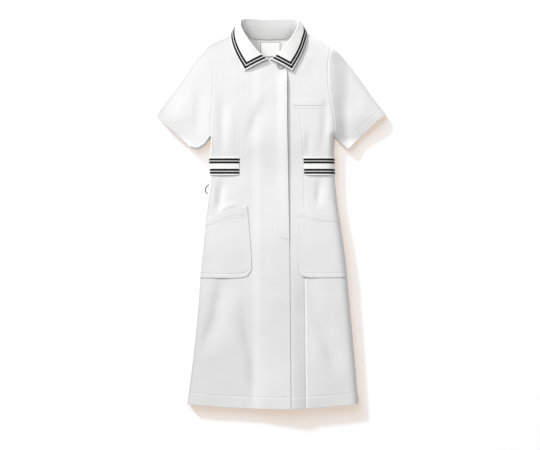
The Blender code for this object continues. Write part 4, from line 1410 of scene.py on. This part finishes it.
def makeButton():
    # turned disc with a raised rim and four holes
    angles = np.linspace(0, 2 * math.pi, button["spokes"], endpoint=False)
    cos, sin = np.cos(angles), np.sin(angles)
    around = np.array(button["centre"]) + button["radius"] * np.column_stack([cos, sin])
    seat = (frontHeight(around) + front["lapRise"]).max() + button["seatGap"]
    radius = np.array(button["rings"])[:, None] * np.ones(len(angles))
    x, y = radius * cos, radius * sin
    (dishAt, dishFade, dish), (rimAt, rimFade, rim) = button["dish"], button["rim"]
    holeAt, holeFade, hole = button["hole"]
    atRim = smoothStep((radius - rimAt) / rimFade)
    height = button["thickness"] - button["rimRise"] - dish * smoothStep((dishAt - radius) / dishFade) - rim * atRim
    for angle in np.radians(button["holeAngles"]):
        away = np.hypot(x - button["holesAt"] * math.cos(angle), y - button["holesAt"] * math.sin(angle))
        height -= hole * (1 - smoothStep((away - holeAt) / holeFade))
    upper = np.stack([x + button["centre"][0], y + button["centre"][1], seat + height], axis=-1)
    lower = upper.copy()
    lower[..., 2] = seat + button["footRise"] * atRim
    points = np.concatenate([upper, lower[::-1]])
    columns = len(angles)
    index = np.arange(points.shape[0] * columns).reshape(points.shape[0], columns)
    nextColumn = np.roll(index, -1, axis=1)
    quads = np.stack([index[:-1], index[1:], nextColumn[1:], nextColumn[:-1]], axis=-1).reshape(-1, 4)
    mesh = bpy.data.meshes.new("neck_button_resin")
    mesh.from_pydata(points.reshape(-1, 3).tolist(), [], quads.tolist())
    tools = bmesh.new()
    tools.from_mesh(mesh)
    bmesh.ops.remove_doubles(tools, verts=tools.verts, dist=1e-6)
    bmesh.ops.recalc_face_normals(tools, faces=tools.faces)
    tools.to_mesh(mesh)
    tools.free()
    mesh.shade_smooth()
    mesh.materials.append(resin)
    return intoScene("neck_button_resin", mesh)


buttonPiece = makeButton()
print("label, welt and button made")


# Stitches and the side loop, by Geometry Nodes along paths
def nodeTree(name, sockets):
    tree = bpy.data.node_groups.new(name, "GeometryNodeTree")
    tree.interface.new_socket("Geometry", in_out="INPUT", socket_type="NodeSocketGeometry")
    for label, kind in sockets.items():
        tree.interface.new_socket(label, in_out="INPUT", socket_type=kind)
    tree.interface.new_socket("Geometry", in_out="OUTPUT", socket_type="NodeSocketGeometry")
    return tree, tree.nodes.new("NodeGroupInput"), tree.nodes.new("NodeGroupOutput")


def addNode(tree, kind, settings=None, values=None):
    node = tree.nodes.new(kind)
    for key, value in (settings or {}).items():
        setattr(node, key, value)
    for key, value in (values or {}).items():
        if isinstance(value, bpy.types.NodeSocket):
            tree.links.new(value, node.inputs[key])
        else:
            node.inputs[key].default_value = value
    return node


def finished(tree, shape, given, result):
    smooth = addNode(tree, "GeometryNodeSetShadeSmooth", values={0: shape.outputs[0]})
    paint = {0: smooth.outputs[0], "Material": given.outputs["Material"]}
    painted = addNode(tree, "GeometryNodeSetMaterial", values=paint)
    tree.links.new(painted.outputs[0], result.inputs[0])


def stitchTree():
    sockets = {
        "Pitch": "NodeSocketFloat", "Stitch length": "NodeSocketFloat", "Thread": "NodeSocketFloat",
        "Turn": "NodeSocketFloat", "Material": "NodeSocketMaterial",
    }
    tree, given, result = nodeTree("stitches", sockets)
    ask = given.outputs
    path = addNode(tree, "GeometryNodeMeshToCurve", values={0: ask["Geometry"]})
    spaced = addNode(
        tree, "GeometryNodeResampleCurve", {"mode": "LENGTH"}, {"Curve": path.outputs[0], "Length": ask["Pitch"]}
    )
    tangent = addNode(tree, "GeometryNodeInputTangent")
    turn = {"Vector": tangent.outputs[0], "Angle": ask["Turn"]}
    turned = addNode(tree, "ShaderNodeVectorRotate", {"rotation_type": "Z_AXIS"}, turn)
    aligned = addNode(tree, "FunctionNodeAlignRotationToVector", {"axis": "X"}, {"Vector": turned.outputs[0]})
    bead = addNode(tree, "GeometryNodeMeshIcoSphere", values={"Radius": 0.5, "Subdivisions": 1})
    size = addNode(tree, "ShaderNodeCombineXYZ", values={0: ask["Stitch length"], 1: ask["Thread"], 2: ask["Thread"]})
    stitch = {"Instance": bead.outputs["Mesh"], "Rotation": aligned.outputs[0], "Scale": size.outputs[0]}
    instances = addNode(tree, "GeometryNodeInstanceOnPoints", values={"Points": spaced.outputs[0], **stitch})
    real = addNode(tree, "GeometryNodeRealizeInstances", values={0: instances.outputs[0]})
    finished(tree, real, given, result)
    return tree


def threadTree():
    sockets = {"Radius": "NodeSocketFloat", "Sides": "NodeSocketInt", "Material": "NodeSocketMaterial"}
    tree, given, result = nodeTree("thread", sockets)
    path = addNode(tree, "GeometryNodeMeshToCurve", values={0: given.outputs["Geometry"]})
    rounds = {"Resolution": given.outputs["Sides"], "Radius": given.outputs["Radius"]}
    ring = addNode(tree, "GeometryNodeCurvePrimitiveCircle", values=rounds)
    swept = {"Curve": path.outputs[0], "Profile Curve": ring.outputs[0], "Fill Caps": True}
    tube = addNode(tree, "GeometryNodeCurveToMesh", values=swept)
    finished(tree, tube, given, result)
    return tree


def grownAlong(name, paths, tree, values):
    # runs the tree on the paths and keeps its result as a plain mesh
    vertices, edges = [], []
    for path in paths:
        start = len(vertices)
        vertices += [tuple(p) for p in path]
        edges += [(start + k, start + k + 1) for k in range(len(path) - 1)]
    mesh = bpy.data.meshes.new(name + "_path")
    mesh.from_pydata(vertices, edges, [])
    source = intoScene(name + "_path", mesh)
    modifier = source.modifiers.new("Grow", "NODES")
    modifier.node_group = tree
    for item in tree.interface.items_tree:
        if item.item_type == "SOCKET" and item.in_out == "INPUT" and item.name in values:
            modifier[item.identifier] = values[item.name]
    grown = bpy.data.meshes.new_from_object(source.evaluated_get(bpy.context.evaluated_depsgraph_get()))
    bpy.data.objects.remove(source)
    grown.name = name
    return intoScene(name, grown)


stitching = {"Pitch": 0.0030, "Stitch length": 0.0024, "Thread": 0.0008, "Turn": 0.0, "Material": stitchFinish}
stitches = grownAlong("stitches_thread", stitchPaths, stitchTree(), stitching)

loop = {
    "points": ((0.0806, 0.0), (0.074, 0.0055), (0.0668, 0.0075), (0.060, 0.0055), (0.0553, 0.0)),
    "thickness": 0.0032,
    "gap": 0.0003,
    "twistPitch": 0.0042,
    # each strand's distance from the middle and its radius, as shares of the thickness
    "strandOff": 0.25,
    "strandRadius": 0.30,
    "sides": 8,
}


def loopStrands():
    rows = smoothLine(loop["points"])
    sideX = xAt(curves["sideRight"], rows[:, 0])
    z = body["seamHeightShare"] * crownHeight(np.column_stack([sideX, rows[:, 0]]))
    centre = np.column_stack([sideX - loop["thickness"] / 2 - loop["gap"] - rows[:, 1], rows[:, 0], z])
    run = runOf(centre)
    tangent = unit(np.gradient(centre, axis=0))
    up = np.array([0.0, 0.0, 1.0])
    side = unit(np.cross(tangent, up))
    strands = []
    for offset in (0, math.pi):
        angle = (2 * math.pi * run / loop["twistPitch"] + offset)[:, None]
        strands.append(centre + loop["thickness"] * loop["strandOff"] * (np.cos(angle) * side + np.sin(angle) * up))
    return strands


loopThread = {"Radius": loop["thickness"] * loop["strandRadius"], "Sides": loop["sides"], "Material": loopFinish}
loopPiece = grownAlong("side_loop_thread", loopStrands(), threadTree(), loopThread)
print("stitches and side loop made")

# Each piece takes its CAD node's place
pieces = panels | sleeves | tabs | pockets
pieces |= {"collar": collarPiece, "chest_welt": weltPiece, "neck_label": labelPiece}
for node, piece in pieces.items():
    rest = ["floor"] if node == "back" else ["back_cloth"]
    placed(piece, node)
placed(buttonPiece, "neck_button")
placed(stitches, None)
placed(loopPiece, "side_loop")

# Floor, light and camera
studio = {
    "frameWidth": 1.485,
    "cameraHeight": 3.2,
    "focusHeight": 0.034,
    "cameraPlace": (-0.00275, -0.0316),
    "keyFrom": (-1.27, 1.57, 1.0),
    "keyAngle": 0.11,
    "keyStrength": 2.45,
    "topPlace": (-0.8, 1.2, 1.9),
    "topSize": 1.6,
    "topPower": 27,
    "worldStrength": 0.42,
}


def makeFloorPlane():
    mesh = bpy.data.meshes.new("floor")
    size, z = floor["halfSize"], floor["z"]
    mesh.from_pydata([(-size, -size, z), (size, -size, z), (size, size, z), (-size, size, z)], [], [(0, 1, 2, 3)])
    mesh.materials.append(makeFloor())
    intoScene("floor", mesh)


def addLight(name, kind, where, strength, **settings):
    lamp = bpy.data.lights.new(name, kind)
    lamp.energy = strength
    for key, value in settings.items():
        setattr(lamp, key, value)
    obj = intoScene(name, lamp)
    obj.location = where
    obj.rotation_mode = "QUATERNION"
    obj.rotation_quaternion = (-mathutils.Vector(where)).to_track_quat("-Z", "Y")


makeFloorPlane()
addLight("key", "SUN", studio["keyFrom"], studio["keyStrength"], angle=studio["keyAngle"])
addLight("top", "AREA", studio["topPlace"], studio["topPower"], size=studio["topSize"])
world = bpy.data.worlds.new("studio")
world.use_nodes = True
background = world.node_tree.nodes["Background"].inputs
background["Color"].default_value = (1, 1, 1, 1)
background["Strength"].default_value = studio["worldStrength"]
bpy.context.scene.world = world
lens = bpy.data.cameras.new("camera")
lens.lens = lens.sensor_width * (studio["cameraHeight"] - studio["focusHeight"]) / studio["frameWidth"]
camera = intoScene("camera", lens)
camera.location = (*studio["cameraPlace"], studio["cameraHeight"])
bpy.context.scene.camera = camera
bpy.context.scene.view_settings.view_transform = "Standard"
print("studio made")
